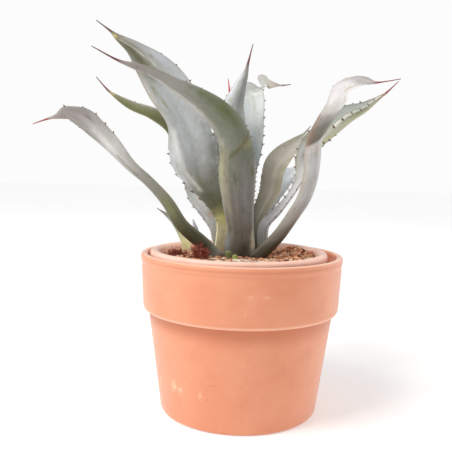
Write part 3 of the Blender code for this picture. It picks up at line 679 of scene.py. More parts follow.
LOOKS = {
    "leaf_front": Look(
        keys=(
            (0.0, (0.17, 0.17, 0.15)), (0.35, (0.11, 0.105, 0.085)), (1.0, (0.125, 0.112, 0.09)),
            (2.0, (0.16, 0.147, 0.13)), (3.0, (0.16, 0.155, 0.13)), (3.9, (0.148, 0.156, 0.118)),
            (4.3, (0.175, 0.185, 0.145)), (5.0, (0.175, 0.188, 0.145)), (5.8, (0.17, 0.183, 0.13)),
            (7.0, (0.225, 0.228, 0.19)), (8.3, (0.26, 0.252, 0.22)), (10.0, (0.27, 0.24, 0.22)),
            (11.5, (0.33, 0.27, 0.26)),
        ),
        spacing=0.0042, tooth=0.0011, scallop=0.0006,
        patches=(
            Patch(5.7, 0.5, 1.4, 0.5, (0.095, 0.108, 0.036), 0.9),
            Patch(6.7, 0.65, 0.9, 0.35, (0.12, 0.13, 0.06), 0.7),
            Patch(5.2, -0.1, 0.5, 0.25, (0.11, 0.12, 0.05), 0.4),
            Patch(3.2, -0.84, 1.5, 0.28, (0.36, 0.34, 0.2), 0.9),
            Patch(4.2, 0.62, 0.22, 0.45, (0.25, 0.24, 0.11)),
            Patch(3.0, -0.1, 0.3, 0.1, (0.06, 0.075, 0.025), 0.85),
            Patch(3.15, 0.82, 0.25, 0.13, (0.07, 0.09, 0.03)),
            Patch(1.9, 0.38, 0.16, 0.2, (0.055, 0.06, 0.025)),
            Patch(1.6, 0.05, 0.4, 0.07, (0.07, 0.07, 0.04), 0.6),
            Patch(2.4, 0.42, 1.5, 0.22, (0.22, 0.215, 0.21), 0.75),
            Patch(2.0, -0.62, 1.4, 0.12, (0.28, 0.245, 0.21), 0.75),
            Patch(1.9, -0.28, 1.2, 0.09, (0.1, 0.095, 0.07), 0.6),
            Patch(1.7, -0.97, 1.4, 0.12, (0.33, 0.33, 0.33), 0.7),
            Patch(7.4, -0.9, 3.0, 0.26, (0.52, 0.51, 0.48), 0.95),
            Patch(9.5, 0.85, 2.0, 0.3, (0.21, 0.19, 0.17), 0.6),
            Patch(0.45, -0.88, 0.45, 0.26, (0.3, 0.315, 0.315), 0.75),
            Patch(0.5, 0.92, 0.5, 0.2, (0.62, 0.58, 0.42), 0.9),
            Patch(0.1, 0.15, 0.3, 0.5, (0.035, 0.045, 0.025), 0.9),
            Patch(0.45, 0.4, 0.15, 0.25, (0.035, 0.045, 0.025), 0.7),
        ),
        strokes=(
            Stroke((3.75, -0.45), (4.1, 0.15), 0.0013, (0.09, 0.1, 0.03), 0.9),
            Stroke((4.1, 0.15), (4.55, 0.9), 0.001, (0.12, 0.09, 0.03), 0.85),
            Stroke((1.8, -0.5), (4.1, -0.52), 0.0009, (0.28, 0.25, 0.16), 0.6),
            Stroke((0.9, 0.92), (3.6, 0.97), 0.0007, (0.34, 0.33, 0.31), 0.6),
        ),
        bare=((1, 5.0, 12.0), (-1, 4.4, 12.0)),
        extra_teeth=(
            (5.3, 1.0, 1.3), (6.0, 1.0, 1.4), (7.0, 1.0, 0.9), (7.7, 1.0, 1.5), (8.5, 1.0, 1.1),
            (9.2, 1.0, 0.6), (4.9, -1.0, 0.9), (7.6, -1.0, 0.7),
        ),
        bulges=((-1, 0.3, 0.5, 0.0024), (1, 0.3, 0.45, 0.0024)),
    ),
    "leaf_far_left": Look(
        keys=(
            (0.0, (0.26, 0.27, 0.25)), (0.35, (0.15, 0.155, 0.13)), (0.8, (0.075, 0.075, 0.045)),
            (1.4, (0.055, 0.052, 0.024)), (2.2, (0.08, 0.078, 0.036)), (2.8, (0.14, 0.138, 0.08)),
            (3.5, (0.22, 0.21, 0.17)), (4.2, (0.27, 0.26, 0.225)), (5.0, (0.37, 0.36, 0.33)),
            (6.0, (0.5, 0.485, 0.47)), (7.0, (0.38, 0.355, 0.34)), (8.0, (0.32, 0.29, 0.28)),
            (9.0, (0.31, 0.28, 0.265)), (10.5, (0.4, 0.33, 0.31)),
        ),
        spacing=0.01, tooth=0.0017, spine=(0.3, 0.06, 0.055),
        patches=(
            # Painted shade on the underside's darker lower strip.
            Patch(7.1, -0.52, 1.4, 0.38, (0.19, 0.175, 0.155), 1.0),
            Patch(8.4, -0.8, 0.9, 0.35, (0.18, 0.165, 0.145), 0.9),
            # Painted light on the underside's upper half, where it catches the light.
            Patch(6.2, 0.25, 0.9, 0.26, (0.78, 0.76, 0.73), 0.95),
            Patch(7.4, 0.35, 0.8, 0.2, (0.5, 0.47, 0.45), 0.6),
            # Painted shade on the lower strip, then painted light on the upper half, further down the leaf.
            Patch(5.6, -0.8, 1.0, 0.35, (0.26, 0.25, 0.225), 0.85),
            Patch(5.2, 0.45, 1.2, 0.3, (0.44, 0.42, 0.39), 0.75),
            Patch(8.6, 0.75, 1.0, 0.3, (0.24, 0.21, 0.2), 0.6),
            Patch(2.9, 0.45, 0.6, 0.4, (0.19, 0.2, 0.08)),
            Patch(2.9, -0.5, 0.9, 0.3, (0.22, 0.19, 0.15), 0.6),
            Patch(4.0, 0.2, 0.6, 0.3, (0.25, 0.22, 0.18), 0.5),
        ),
        strokes=(
            Stroke((4.5, 0.25), (5.6, 0.1), 0.0005, (0.16, 0.12, 0.09), 0.7),
            Stroke((4.0, -0.25), (4.7, 0.0), 0.0005, (0.17, 0.13, 0.09), 0.7),
            Stroke((7.8, 0.35), (8.5, 0.3), 0.0004, (0.12, 0.09, 0.08), 0.6),
            Stroke((7.2, 0.55), (8.2, 0.65), 0.0004, (0.12, 0.09, 0.08), 0.6),
        ),
        bare=((1, 0.0, 6.2), (-1, 0.0, 4.6), (1, 9.2, 12.0), (-1, 9.0, 12.0)),
    ),
    "leaf_left": Look(
        keys=(
            # The pale yellow foot is pushed to near white: its own colour, with painted light against the
            # shade of the leaves in front.
            (0.0, (1.0, 0.94, 0.66)), (0.6, (0.98, 0.9, 0.58)), (1.15, (0.58, 0.53, 0.2)),
            (1.6, (0.24, 0.22, 0.09)), (2.0, (0.12, 0.115, 0.06)), (2.4, (0.11, 0.106, 0.066)),
            (3.0, (0.15, 0.148, 0.115)), (3.7, (0.3, 0.3, 0.285)), (4.6, (0.39, 0.395, 0.39)),
            (5.6, (0.42, 0.435, 0.435)), (7.0, (0.4, 0.415, 0.41)), (8.2, (0.24, 0.24, 0.21)),
            (9.4, (0.17, 0.158, 0.115)), (10.3, (0.18, 0.155, 0.11)), (11.5, (0.18, 0.12, 0.1)),
        ),
        spacing=0.0088, tooth=0.002, scallop=0.0013,
        patches=(
            Patch(9.4, 0.15, 0.9, 0.8, (0.105, 0.092, 0.05), 0.9),
            Patch(8.5, 0.3, 0.8, 0.5, (0.085, 0.08, 0.034), 0.95),
            Patch(7.9, 0.22, 0.5, 0.35, (0.15, 0.145, 0.075), 0.75),
            Patch(8.3, -0.8, 1.7, 0.44, (0.34, 0.355, 0.375), 0.95),
            Patch(6.8, 0.93, 1.6, 0.22, (0.52, 0.475, 0.43), 0.95),
            Patch(7.2, 0.6, 0.35, 0.12, (0.2, 0.19, 0.08)), Patch(6.6, 0.52, 0.3, 0.08, (0.21, 0.2, 0.09)),
            Patch(6.2, 0.55, 0.22, 0.06, (0.22, 0.21, 0.1), 0.7),
            Patch(4.1, 1.0, 1.3, 0.34, (0.72, 0.74, 0.77), 0.95),
            Patch(5.3, 0.25, 0.9, 0.35, (0.52, 0.54, 0.55)),
            # Painted shade down the right side, in the shade of the front leaf.
            Patch(4.7, -0.88, 1.2, 0.36, (0.15, 0.155, 0.14), 0.95),
            Patch(3.4, -0.7, 0.9, 0.55, (0.12, 0.12, 0.095), 0.85),
            Patch(3.5, 0.08, 0.5, 0.12, (0.17, 0.18, 0.075)),
            Patch(3.05, 0.28, 0.4, 0.1, (0.17, 0.18, 0.075)),
            Patch(3.3, 0.35, 0.8, 0.1, (0.27, 0.26, 0.22), 0.6),
            Patch(10.35, 0.4, 0.35, 0.6, (0.62, 0.5, 0.18), 0.9),
        ),
        strokes=(
            # Painted highlight along the ridge of the first fold.
            Stroke((5.5, 0.7), (4.2, 0.6), 0.0034, (0.86, 0.86, 0.83), 0.9),
            Stroke((4.2, 0.6), (2.9, 0.5), 0.0026, (0.66, 0.65, 0.57), 0.85),
            Stroke((9.9, 0.1), (7.9, -0.3), 0.0008, (0.5, 0.49, 0.44), 0.5),
        ),
        folds=(Fold(2.0, 6.2, 0.55, 0.8, 0.2, 0.0032), Fold(2.2, 8.0, -0.35, -0.1, 0.4, -0.003)),
        bare=((1, 5.0, 12.0), (-1, 5.6, 12.0)),
        extra_teeth=((6.9, -1.0, 1.1), (7.6, -1.0, 1.0), (8.2, -1.0, 0.7)),
        bulges=((1, 4.65, 0.8, 0.0034), (1, 5.6, 0.5, -0.0022)), spine=(0.11, 0.05, 0.05),
    ),
    "leaf_back_left": Look(
        keys=(
            # The pale foot is pushed to near white: its own pale colour, with painted light against the shade
            # of the leaf over it.
            (0.0, (0.85, 0.84, 0.83)), (1.5, (0.96, 0.95, 0.96)), (2.8, (0.98, 0.98, 0.985)),
            (3.8, (0.4, 0.4, 0.36)), (5.5, (0.135, 0.14, 0.058)), (7.0, (0.13, 0.136, 0.05)),
            (8.5, (0.165, 0.165, 0.078)), (9.7, (0.26, 0.23, 0.13)), (11.0, (0.24, 0.17, 0.14)),
        ),
        spacing=0.008, tooth=0.0014,
        patches=(
            Patch(7.8, -0.95, 2.0, 0.22, (0.34, 0.345, 0.3), 0.9),
            Patch(9.6, 0.2, 0.35, 0.8, (0.55, 0.43, 0.22), 0.85),
            Patch(7.0, 0.95, 2.0, 0.14, (0.36, 0.34, 0.21)),
            Patch(2.75, -0.1, 0.16, 0.3, (0.95, 0.62, 0.4), 0.95),
            Patch(1.75, -0.05, 0.2, 0.35, (0.9, 0.62, 0.42), 0.85),
            Patch(2.1, 0.9, 1.6, 0.2, (0.62, 0.62, 0.65), 0.7),
        ),
        bare=((1, 4.5, 12.0), (-1, 4.5, 7.5), (-1, 8.2, 12.0)),
    ),
    "leaf_front_right": Look(
        keys=(
            (0.0, (0.045, 0.038, 0.02)), (0.7, (0.052, 0.044, 0.025)), (1.3, (0.13, 0.11, 0.085)),
            (2.2, (0.31, 0.28, 0.26)), (3.5, (0.42, 0.4, 0.39)), (5.0, (0.48, 0.47, 0.46)),
            # Past the crease at station 6.1, slanted by the skew, the keys drop to painted shade where the
            # blade overhangs, then brighten towards 8.8: its pale own colour, with painted light where it
            # turns up again.
            (6.06, (0.54, 0.5, 0.47)), (6.2, (0.15, 0.128, 0.103)), (6.8, (0.19, 0.175, 0.15)),
            (7.4, (0.36, 0.335, 0.315)), (8.0, (0.7, 0.67, 0.65)), (8.8, (0.86, 0.83, 0.825)),
            (9.8, (0.84, 0.8, 0.805)), (10.8, (0.52, 0.5, 0.505)), (12.0, (0.38, 0.32, 0.32)),
        ),
        skew=0.5, spacing=0.0085, tooth=0.0007, scallop=0.0003,
        patches=(
            Patch(2.2, 0.85, 1.4, 0.3, (0.24, 0.22, 0.2), 0.7),
            Patch(4.4, 0.7, 1.5, 0.25, (0.58, 0.58, 0.575), 0.7),
            Patch(4.2, -0.93, 2.0, 0.12, (0.5, 0.43, 0.38)),
            Patch(5.5, 0.1, 0.3, 0.35, (0.52, 0.42, 0.35), 0.6),
            Patch(7.2, 0.75, 0.8, 0.4, (0.22, 0.2, 0.17)),
            Patch(9.6, 0.0, 0.25, 0.3, (0.78, 0.66, 0.64), 0.5),
        ),
        strokes=(
            Stroke((5.68, -0.95), (7.2, -0.93), 0.00025, (0.5, 0.22, 0.12), 0.9),
            Stroke((5.72, -0.74), (6.9, -0.66), 0.00025, (0.38, 0.17, 0.1), 0.6),
            Stroke((5.68, -0.95), (5.85, -0.3), 0.00025, (0.5, 0.24, 0.14), 0.7),
            Stroke((3.3, -1.0), (5.6, -1.0), 0.0002, (0.42, 0.27, 0.19), 0.5),
        ),
        bare=((-1, 0.0, 8.6), (1, 0.0, 12.0), (-1, 10.4, 12.0)),
        extra_teeth=((3.4, -1.0, 0.9), (4.0, -1.0, 0.8), (4.5, -1.0, 1.0), (5.1, -1.0, 1.2)),
        bulges=((1, 9.2, 0.9, -0.0034), (-1, 9.0, 0.5, 0.0012)), spine=(0.22, 0.045, 0.045),
    ),
    "leaf_right": Look(
        keys=(
            (0.0, (0.36, 0.36, 0.35)), (1.5, (0.45, 0.445, 0.455)), (3.0, (0.56, 0.54, 0.55)),
            (4.5, (0.5, 0.495, 0.47)), (5.4, (0.42, 0.43, 0.42)), (6.0, (0.37, 0.365, 0.3)),
            (7.5, (0.34, 0.345, 0.29)), (9.0, (0.35, 0.36, 0.3)), (10.5, (0.36, 0.34, 0.27)),
            (11.5, (0.3, 0.22, 0.19)),
        ),
        spacing=0.008, tooth=0.0018, scallop=0.0007, spine=(0.27, 0.055, 0.05),
        patches=(
            Patch(8.2, -0.62, 2.4, 0.46, (0.31, 0.3, 0.185), 0.95),
            Patch(8.6, -0.95, 2.4, 0.14, (0.5, 0.47, 0.36)),
            Patch(8.6, 0.6, 1.9, 0.45, (0.4, 0.43, 0.41), 0.9),
            Patch(8.2, -0.22, 1.8, 0.1, (0.17, 0.18, 0.1)),
            Patch(6.4, -0.6, 0.45, 0.35, (0.32, 0.3, 0.13), 0.7),
            Patch(4.6, 0.9, 1.4, 0.1, (0.44, 0.42, 0.24), 0.7),
            Patch(5.2, 0.3, 0.5, 0.3, (0.28, 0.29, 0.3), 0.6),
        ),
        strokes=(
            Stroke((7.1, 0.02), (10.6, 0.02), 0.0009, (0.74, 0.72, 0.66), 1.0, 6, 0.0013),
            Stroke((10.0, -0.85), (11.0, 0.0), 0.0005, (0.36, 0.1, 0.08), 0.6),
        ),
        folds=(Fold(6.6, 11.2, 0.02, 0.02, 0.16, 0.0022),),
        bare=((-1, 6.9, 12.0), (1, 6.6, 8.0), (1, 9.7, 12.0)),
        extra_teeth=(
            (7.1, 0.02, 1.7), (7.68, 0.02, 1.5), (8.27, 0.02, 1.2), (8.85, 0.02, 1.1), (9.43, 0.02, 0.9),
            (10.0, 0.02, 0.7), (6.15, -0.75, 1.5), (6.4, -0.95, 1.3),
        ),
    ),
    "leaf_back_right": Look(
        keys=(
            (0.0, (0.115, 0.11, 0.08)), (1.0, (0.155, 0.145, 0.105)), (2.2, (0.2, 0.18, 0.135)),
            (3.5, (0.245, 0.222, 0.172)), (4.4, (0.3, 0.275, 0.22)), (5.5, (0.4, 0.37, 0.315)),
            (7.0, (0.44, 0.41, 0.35)), (9.0, (0.38, 0.36, 0.29)),
        ),
        spacing=0.006, tooth=0.001,
        patches=(
            Patch(4.2, -0.95, 3.4, 0.16, (0.44, 0.41, 0.36), 0.9),
            Patch(4.6, -0.72, 2.6, 0.08, (0.46, 0.42, 0.19), 0.85),
            Patch(3.4, -0.5, 1.8, 0.12, (0.4, 0.34, 0.25), 0.6),
            Patch(3.2, 0.4, 1.5, 0.4, (0.21, 0.19, 0.14), 0.5),
        ),
        bare=((1, 4.4, 10.0), (-1, 0.0, 10.0)),
        extra_teeth=((3.6, -0.85, 0.9), (4.7, -0.8, 0.9), (5.6, -0.78, 0.9), (6.5, -0.75, 1.0)),
        spine=(0.3, 0.3, 0.25),
    ),
    "leaf_far_back": Look(
        keys=((0.0, (0.54, 0.54, 0.56)), (3.0, (0.74, 0.77, 0.8)), (9.0, (0.7, 0.74, 0.76))), tooth=0.0012,
    ),
    "leaf_back": Look(
        keys=(
            (0.0, (0.36, 0.37, 0.34)), (2.0, (0.46, 0.5, 0.49)), (2.8, (0.5, 0.56, 0.56)),
            (3.6, (0.62, 0.66, 0.65)), (5.6, (0.64, 0.66, 0.64)), (6.4, (0.6, 0.61, 0.58)),
            (7.3, (0.58, 0.585, 0.56)), (9.0, (0.56, 0.52, 0.47)), (10.5, (0.4, 0.32, 0.29)),
        ),
        spacing=0.0092, tooth=0.0018,
        patches=(
            Patch(4.5, 0.6, 1.6, 0.4, (0.6, 0.64, 0.65), 0.6),
            Patch(4.6, -0.93, 2.0, 0.12, (0.44, 0.46, 0.38), 0.7),
            Patch(9.0, -0.8, 1.6, 0.4, (0.48, 0.36, 0.26), 0.7),
        ),
        bare=((1, 0.0, 5.2), (1, 6.0, 12.0), (-1, 6.0, 12.0)),
        bulges=((1, 7.25, 0.45, -0.0062), (1, 8.0, 0.25, 0.002)), spine=(0.17, 0.09, 0.085),
    ),
    "leaf_centre": Look(
        keys=(
            (0.0, (0.3, 0.31, 0.295)), (3.0, (0.38, 0.39, 0.385)), (6.0, (0.4, 0.415, 0.41)),
            (7.2, (0.34, 0.34, 0.33)), (8.2, (0.22, 0.18, 0.165)),
        ),
        patches=(
            # Painted light on the left half and painted shade on the right half, either side of the midrib.
            Patch(5.6, -0.6, 2.8, 0.42, (0.6, 0.625, 0.65), 0.95),
            Patch(5.8, 0.6, 2.8, 0.5, (0.235, 0.24, 0.225), 0.95),
            Patch(5.0, 0.1, 0.2, 0.08, (0.15, 0.18, 0.1), 0.7),
        ),
        bare=((1, 0.0, 9.0), (-1, 6.2, 9.0)), spine=(0.17, 0.045, 0.05), tooth=0.0012,
    ),
    "leaf_bud": Look(keys=((0.0, (0.32, 0.34, 0.33)), (5.0, (0.42, 0.44, 0.44))), spine=(0.62, 0.05, 0.07)),
    "offset_leaf_long": Look(
        keys=(
            (0.0, (1.0, 0.98, 0.66)), (0.8, (1.0, 1.0, 0.56)), (1.8, (0.7, 0.73, 0.44)),
            (3.0, (0.38, 0.42, 0.31)), (4.0, (0.26, 0.28, 0.24)), (5.5, (0.24, 0.23, 0.21)),
        ),
        tooth=0.0005, spine=(0.22, 0.2, 0.18), bare=((1, 0.0, 6.0), (-1, 0.0, 6.0)),
    ),
    "offset_leaf_short": Look(
        keys=((0.0, (0.6, 0.6, 0.52)), (3.0, (0.6, 0.6, 0.68))), tooth=0.0005, spine=(0.44, 0.43, 0.5),
    ),
    "leaf_stub_1": Look(keys=((0.0, (0.09, 0.1, 0.05)), (2.0, (0.22, 0.26, 0.1))), tooth=0.0),
    "leaf_stub_2": Look(
        keys=((0.0, (0.3, 0.34, 0.08)), (1.0, (0.25, 0.38, 0.05)), (2.0, (0.4, 0.4, 0.12))), tooth=0.0,
    ),
    "leaf_stub_3": Look(keys=((0.0, (0.22, 0.2, 0.17)), (2.0, (0.34, 0.32, 0.27))), tooth=0.0),
}


def smooth_stations(stations, spacing):
    """The stations with more between them, on a curve through them all, with each one's share of the way."""
    knots = [Vector(station) for station in stations]
    chords = [(b.xyz - a.xyz).length for a, b in zip(knots, knots[1:])]
    slopes = [(knots[1] - knots[0]) / chords[0]]
    for index in range(1, len(knots) - 1):
        slopes.append((knots[index + 1] - knots[index - 1]) / (chords[index - 1] + chords[index]))
    slopes.append((knots[-1] - knots[-2]) / chords[-1])
    smooth = []
    for index, chord in enumerate(chords):
        steps = max(2, round(chord / spacing))
        for step in range(steps):
            s = step / steps
            rise = 3 * s**2 - 2 * s**3
            leave = chord * (s**3 - 2 * s**2 + s)
            arrive = chord * (s**3 - s**2)
            mixed = knots[index] * (1 - rise) + knots[index + 1] * rise
            mixed = mixed + slopes[index] * leave + slopes[index + 1] * arrive
            smooth.append((mixed, (index + s) / len(chords)))
    return [*smooth, (knots[-1], 1.0)]


def facing_at(facings, share):
    """The way the upper face looks at a share of the leaf's length."""
    place = share * (len(facings) - 1)
    index = min(int(place), len(facings) - 2)
    return Vector(facings[index]).lerp(Vector(facings[index + 1]), place - index)


def key_colour(keys, station):
    """The leaf's own colour at a station, between the two nearest keys."""
    if station <= keys[0][0]:
        return Vector(keys[0][1])
    for (low, first), (high, second) in zip(keys, keys[1:]):
        if station <= high:
            return Vector(first).lerp(Vector(second), smoothstep(low, high, station))
    return Vector(keys[-1][1])


def painted(look, station, u, half_width, wander):
    """The skin's colour at a place on the leaf, with its patches and strokes, some of them painted highlights
    and shade.
    """
    colour = key_colour(look.keys, station - look.skew * u)
    for patch in look.patches:
        along = (station - patch.station) / patch.reach_along
        beside = (u - patch.across) / patch.reach_across
        away = along * along + beside * beside
        if away < PATCH_LIMIT:
            share = math.exp(-PATCH_FALLOFF * away * (1.0 + PATCH_RAGGEDNESS * wander))
            colour = colour.lerp(Vector(patch.colour), patch.strength * share)
    for stroke in look.strokes:
        (s0, u0), (s1, u1) = stroke.start, stroke.end
        length = Vector(((s1 - s0) * STATION_LENGTH, (u1 - u0) * half_width))
        offset = Vector(((station - s0) * STATION_LENGTH, (u - u0) * half_width))
        share = min(1.0, max(0.0, offset.dot(length) / length.length_squared))
        if stroke.waves:
            offset.y -= stroke.wave_height * abs(math.sin(math.pi * share * stroke.waves))
        away = (offset - length * share).length / stroke.width
        colour = colour.lerp(Vector(stroke.colour), stroke.strength * math.exp(-away * away))
    return colour


def has_tooth(look, side, station):
    return not any(side == margin and first <= station <= last for margin, first, last in look.bare)


def add_tooth(points, faces, root, outward, along, size):
    """A small hooked tooth on a margin: a curved cone, through (reach, width) rows in tooth sizes."""
    side = outward.cross(along).normalized()
    rows = []
    for reach, width in TOOTH_ROWS:
        centre = root + outward * size * reach + along * size * 0.30 * reach * reach
        row = []
        for step in range(TOOTH_SIDES):
            angle = math.tau * step / TOOTH_SIDES
            spread = along * math.cos(angle) * 1.2 + side * math.sin(angle) * 0.7
            row.append(centre + spread * width * size)
        rows.append(row)
    add_tube(points, faces, rows, foot=False)


class Ring(NamedTuple):
    """What one ring of a leaf is built from."""

    centre: Vector
    half_width: float
    across: Vector
    up: Vector
    along: Vector
    station: float
    travelled: float
    spine: float
    armed: float
    thickness: float


def leaf_frames(leaf, blunt):
    """The rings' frames along a leaf, from its foot to its tip."""
    path = smooth_stations(leaf.stations, RING_SPACING)
    spans = len(leaf.stations) - 1
    spine_start = spans - 1.0
    frames = []
    travelled = 0.0
    for index, (knot, share) in enumerate(path):
        after = path[min(index + 1, len(path) - 1)][0]
        before = path[max(index - 1, 0)][0]
        along = (after.xyz - before.xyz).normalized()
        across = facing_at(leaf.facings, share).cross(along).normalized()
        travelled += (knot.xyz - before.xyz).length
        station = share * spans
        spine = 0.0 if blunt else smoothstep(*(spine_start + shift for shift in SPINE_BLEND), station)
        before_spine = 1.0 - smoothstep(*(spine_start + shift for shift in LAST_TEETH), station)
        armed = smoothstep(*ARMED_FROM, station) * before_spine
        thinning = 1.0 - 0.30 * smoothstep(0.1, 0.6, share)
        thickness = leaf.thickness * thinning * (1.0 - share) + SPINE_THICKNESS * share
        frames.append(Ring(
            knot.xyz, knot.w, across, along.cross(across), along, station, travelled, spine, armed, thickness
        ))
    return frames


def fold_height(folds, station, u):
    """How far the leaf's folds lift its skin at a place."""
    lift = 0.0
    for fold in folds:
        share = (station - fold.first) / (fold.last - fold.first)
        if 0.0 < share < 1.0:
            centre = fold.across_first + (fold.across_last - fold.across_first) * share
            ridge = math.exp(-(((u - centre) / fold.reach) ** 2))
            lift += fold.height * math.sin(math.pi * share) ** 0.7 * ridge
    return lift


def bulge(bulges, station, u):
    """How far the leaf's bulges push a place outward."""
    push = 0.0
    for margin, at, reach, height in bulges:
        if u * margin > 0.0:
            push += margin * height * abs(u) ** 3 * math.exp(-(((station - at) / reach) ** 2))
    return push


def skin_height(leaf, look, ring, u, side):
    """Height of the skin over the leaf's middle line, on its upper (side 1) or lower (side -1) face."""
    edge = math.sqrt(max(0.0, 1.0 - u * u))
    trough = leaf.channel * ring.half_width * abs(u) ** CHANNEL_POWER
    trough += fold_height(look.folds, ring.station, u)
    skin = trough + (0.08 * ring.thickness * edge if side > 0 else -ring.thickness * edge)
    return skin * (1.0 - ring.spine) + side * ring.half_width * edge * ring.spine


def tooth_bump(turn):
    """1 at a tooth, falling to 0 between teeth, where a turn is the way from one tooth to the next."""
    away = min(turn % 1.0, 1.0 - turn % 1.0)
    return math.exp(-((away / TOOTH_BUMP_WIDTH) ** 2))


RING_PLACES = tuple((-math.cos(math.pi * k / ACROSS_STEPS), 1) for k in range(ACROSS_STEPS + 1)) + tuple(
    (math.cos(math.pi * k / ACROSS_STEPS), -1) for k in range(1, ACROSS_STEPS)
)


def leaf_teeth(look, frames, rings, seed):
    """Roots and directions of the teeth on both margins, unevenly spaced."""
    rng = random.Random(seed)
    teeth = []
    for side, corner in ((-1, 0), (1, ACROSS_STEPS)):
        turn = frames_phase(seed, side)
        for ring, points in zip(frames, rings):
            if ring.travelled / look.spacing + turn >= 1.0:
                turn -= 1.0
                hook = ring.along * rng.uniform(-0.15, 0.35)
                outward = (ring.across * side + ring.up * 0.3 + hook).normalized()
                size = look.tooth * (0.5 + 0.5 * ring.armed) * rng.uniform(0.65, 1.2)
                if ring.armed > 0.2 and has_tooth(look, side, ring.station):
                    teeth.append((points[corner], outward, ring.along, size))
    return teeth


def frames_phase(seed, side):
    """Where the first tooth of a margin lies, as a share of the spacing."""
    return (seed * 0.37 + side * 0.21) % 1.0


def extra_teeth(leaf, look, frames):
    """Roots and directions of the teeth that a look places one by one."""
    teeth = []
    for station, u, size in look.extra_teeth:
        ring = min(frames, key=lambda near: abs(near.station - station))
        beside = u * ring.half_width + bulge(look.bulges, ring.station, u)
        root = ring.centre + ring.across * beside + ring.up * skin_height(leaf, look, ring, u, 1)
        on_margin = abs(u) > MARGIN_START
        outward = ring.across * math.copysign(1.0, u) if on_margin else ring.across * 0.8 + ring.up * 0.6
        teeth.append((root, outward.normalized(), ring.along, look.tooth * size))
    return teeth


def leaf_skin(leaf, look, frames, seed):
    """The skin's rings of points, and what its material reads at each point."""
    rings = []
    stored = {"tint": [], "leafspace": [], "spine": [], "margin": []}
    for ring in frames:
        points = []
        wave = MARGIN_WAVE * noise.noise(Vector((ring.travelled * 55.0, seed * 3.1, 0.0)))
        wander = noise.noise(Vector((ring.travelled * 160.0, seed * 1.7, 5.0)))
        for u, side in RING_PLACES:
            end = 1 if u > 0 else -1
            bump = tooth_bump(ring.travelled / look.spacing + frames_phase(seed, end))
            near_margin = smoothstep(0.80, 1.0, abs(u)) * ring.armed * has_tooth(look, end, ring.station)
            beside = u * ring.half_width - end * look.scallop * (1.0 - bump) * near_margin
            beside += bulge(look.bulges, ring.station, u)
            height = skin_height(leaf, look, ring, u, side) + wave * near_margin
            point = ring.centre + ring.across * beside + ring.up * height
            if ring.station == 0.0:
                point += ring.along * (ring.centre.z - point.z) / ring.along.z
            points.append(point)
            wobble = wander + noise.noise(Vector((ring.travelled * 220.0, u * ring.half_width * 420.0, seed)))
            skin = painted(look, ring.station, u, ring.half_width, wobble)
            stored["tint"].append((*skin.lerp(Vector(look.spine), ring.spine), 1.0))
            stored["leafspace"].append((u * ring.half_width, ring.travelled, side * FACE_OFFSET + seed))
            stored["spine"].append(ring.spine)
            line = (ring.half_width - inset for inset in MARGIN_LINE)
            edge = smoothstep(*line, abs(u) * ring.half_width)
            stored["margin"].append(edge * (1.0 - ring.spine))
        rings.append(points)
    return rings, stored


# What the skin's material reads: each name's kind and its value on the teeth
STORED = {
    "tint": ("FLOAT_COLOR", TOOTH_TINT),
    "leafspace": ("FLOAT_VECTOR", (0.0, 0.0, 0.0)),
    "spine": ("FLOAT", 0.0),
    "margin": ("FLOAT", 0.0),
}


def add_leaf(name, leaf, look, materials, seed):
    """One leaf with scalloped margins, teeth and an end spine, replacing its plain solid."""
    blunt = not look.tooth
    frames = leaf_frames(leaf, blunt)
    rings, stored = leaf_skin(leaf, look, frames, seed)
    points, faces = [], []
    add_tube(points, faces, rings)
    skin_points, skin_faces = len(points), len(faces)
    grown = [] if blunt else leaf_teeth(look, frames, rings, seed)
    for root, outward, along, size in grown + extra_teeth(leaf, look, frames):
        add_tooth(points, faces, root, outward, along, size)
    slots = [0] * skin_faces + [1] * (len(faces) - skin_faces)
    made = add_mesh(name + "_skin", points, faces, materials, slots)
    for field, (kind, on_teeth) in STORED.items():
        store(made.data, field, stored[field] + [on_teeth] * (len(points) - skin_points), kind)
    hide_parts(name)


def leaf_material():
    """Waxy skin: painted tint with some painted highlights and shade, fine lengthwise fibres, rubbed bloom,
    freckles and a faint margin line.
    """
    nodes = Nodes("agave_skin", Roughness=0.5, Specular_IOR_Level=0.35)
    place = nodes.attribute("leafspace", "Color")
    tint = nodes.attribute("tint", "Color")
    fibres = nodes.noise(place, (1300.0, 22.0, 1.0), 3.0)
    bands = nodes.noise(place, (110.0, 38.0, 9.0), 5.0, 0.62)
    mottle = nodes.noise(place, (330.0, 210.0, 4.0), 4.0, 0.6)
    lighter = nodes.mix(1.0, tint, (1.24, 1.26, 1.30), "MULTIPLY")
    darker = nodes.mix(1.0, tint, (0.78, 0.79, 0.73), "MULTIPLY")
    colour = nodes.mix(nodes.ramp(fibres, 0.35, 0.70, 0.0, 0.45), tint, lighter)
    colour = nodes.mix(nodes.ramp(bands, 0.42, 0.62, 0.0, 0.50), colour, darker)
    colour = nodes.mix(nodes.ramp(mottle, 0.52, 0.68, 0.0, 0.35), colour, lighter)
    rub = nodes.ramp(nodes.noise(place, (210.0, 62.0, 5.0), 3.0, 0.6), 0.60, 0.70, 0.0, 0.5)
    colour = nodes.mix(rub, colour, nodes.mix(1.0, tint, (0.52, 0.58, 0.32), "MULTIPLY"))
    freckles = nodes.ramp(nodes.noise(place, (620.0, 420.0, 7.0), 2.0), 0.70, 0.76, 0.0, 0.6)
    colour = nodes.mix(freckles, colour, (0.13, 0.10, 0.06))
    colour = nodes.mix(nodes.math("MULTIPLY", nodes.attribute("margin"), 0.30), colour, (0.30, 0.28, 0.21))
    colour = nodes.mix(nodes.attribute("spine"), colour, tint)
    height = nodes.math("ADD", nodes.math("MULTIPLY", fibres, 0.7), nodes.math("MULTIPLY", bands, 0.9))
    nodes.bump(height, 0.35, 0.0007)
    return nodes.finish(colour)


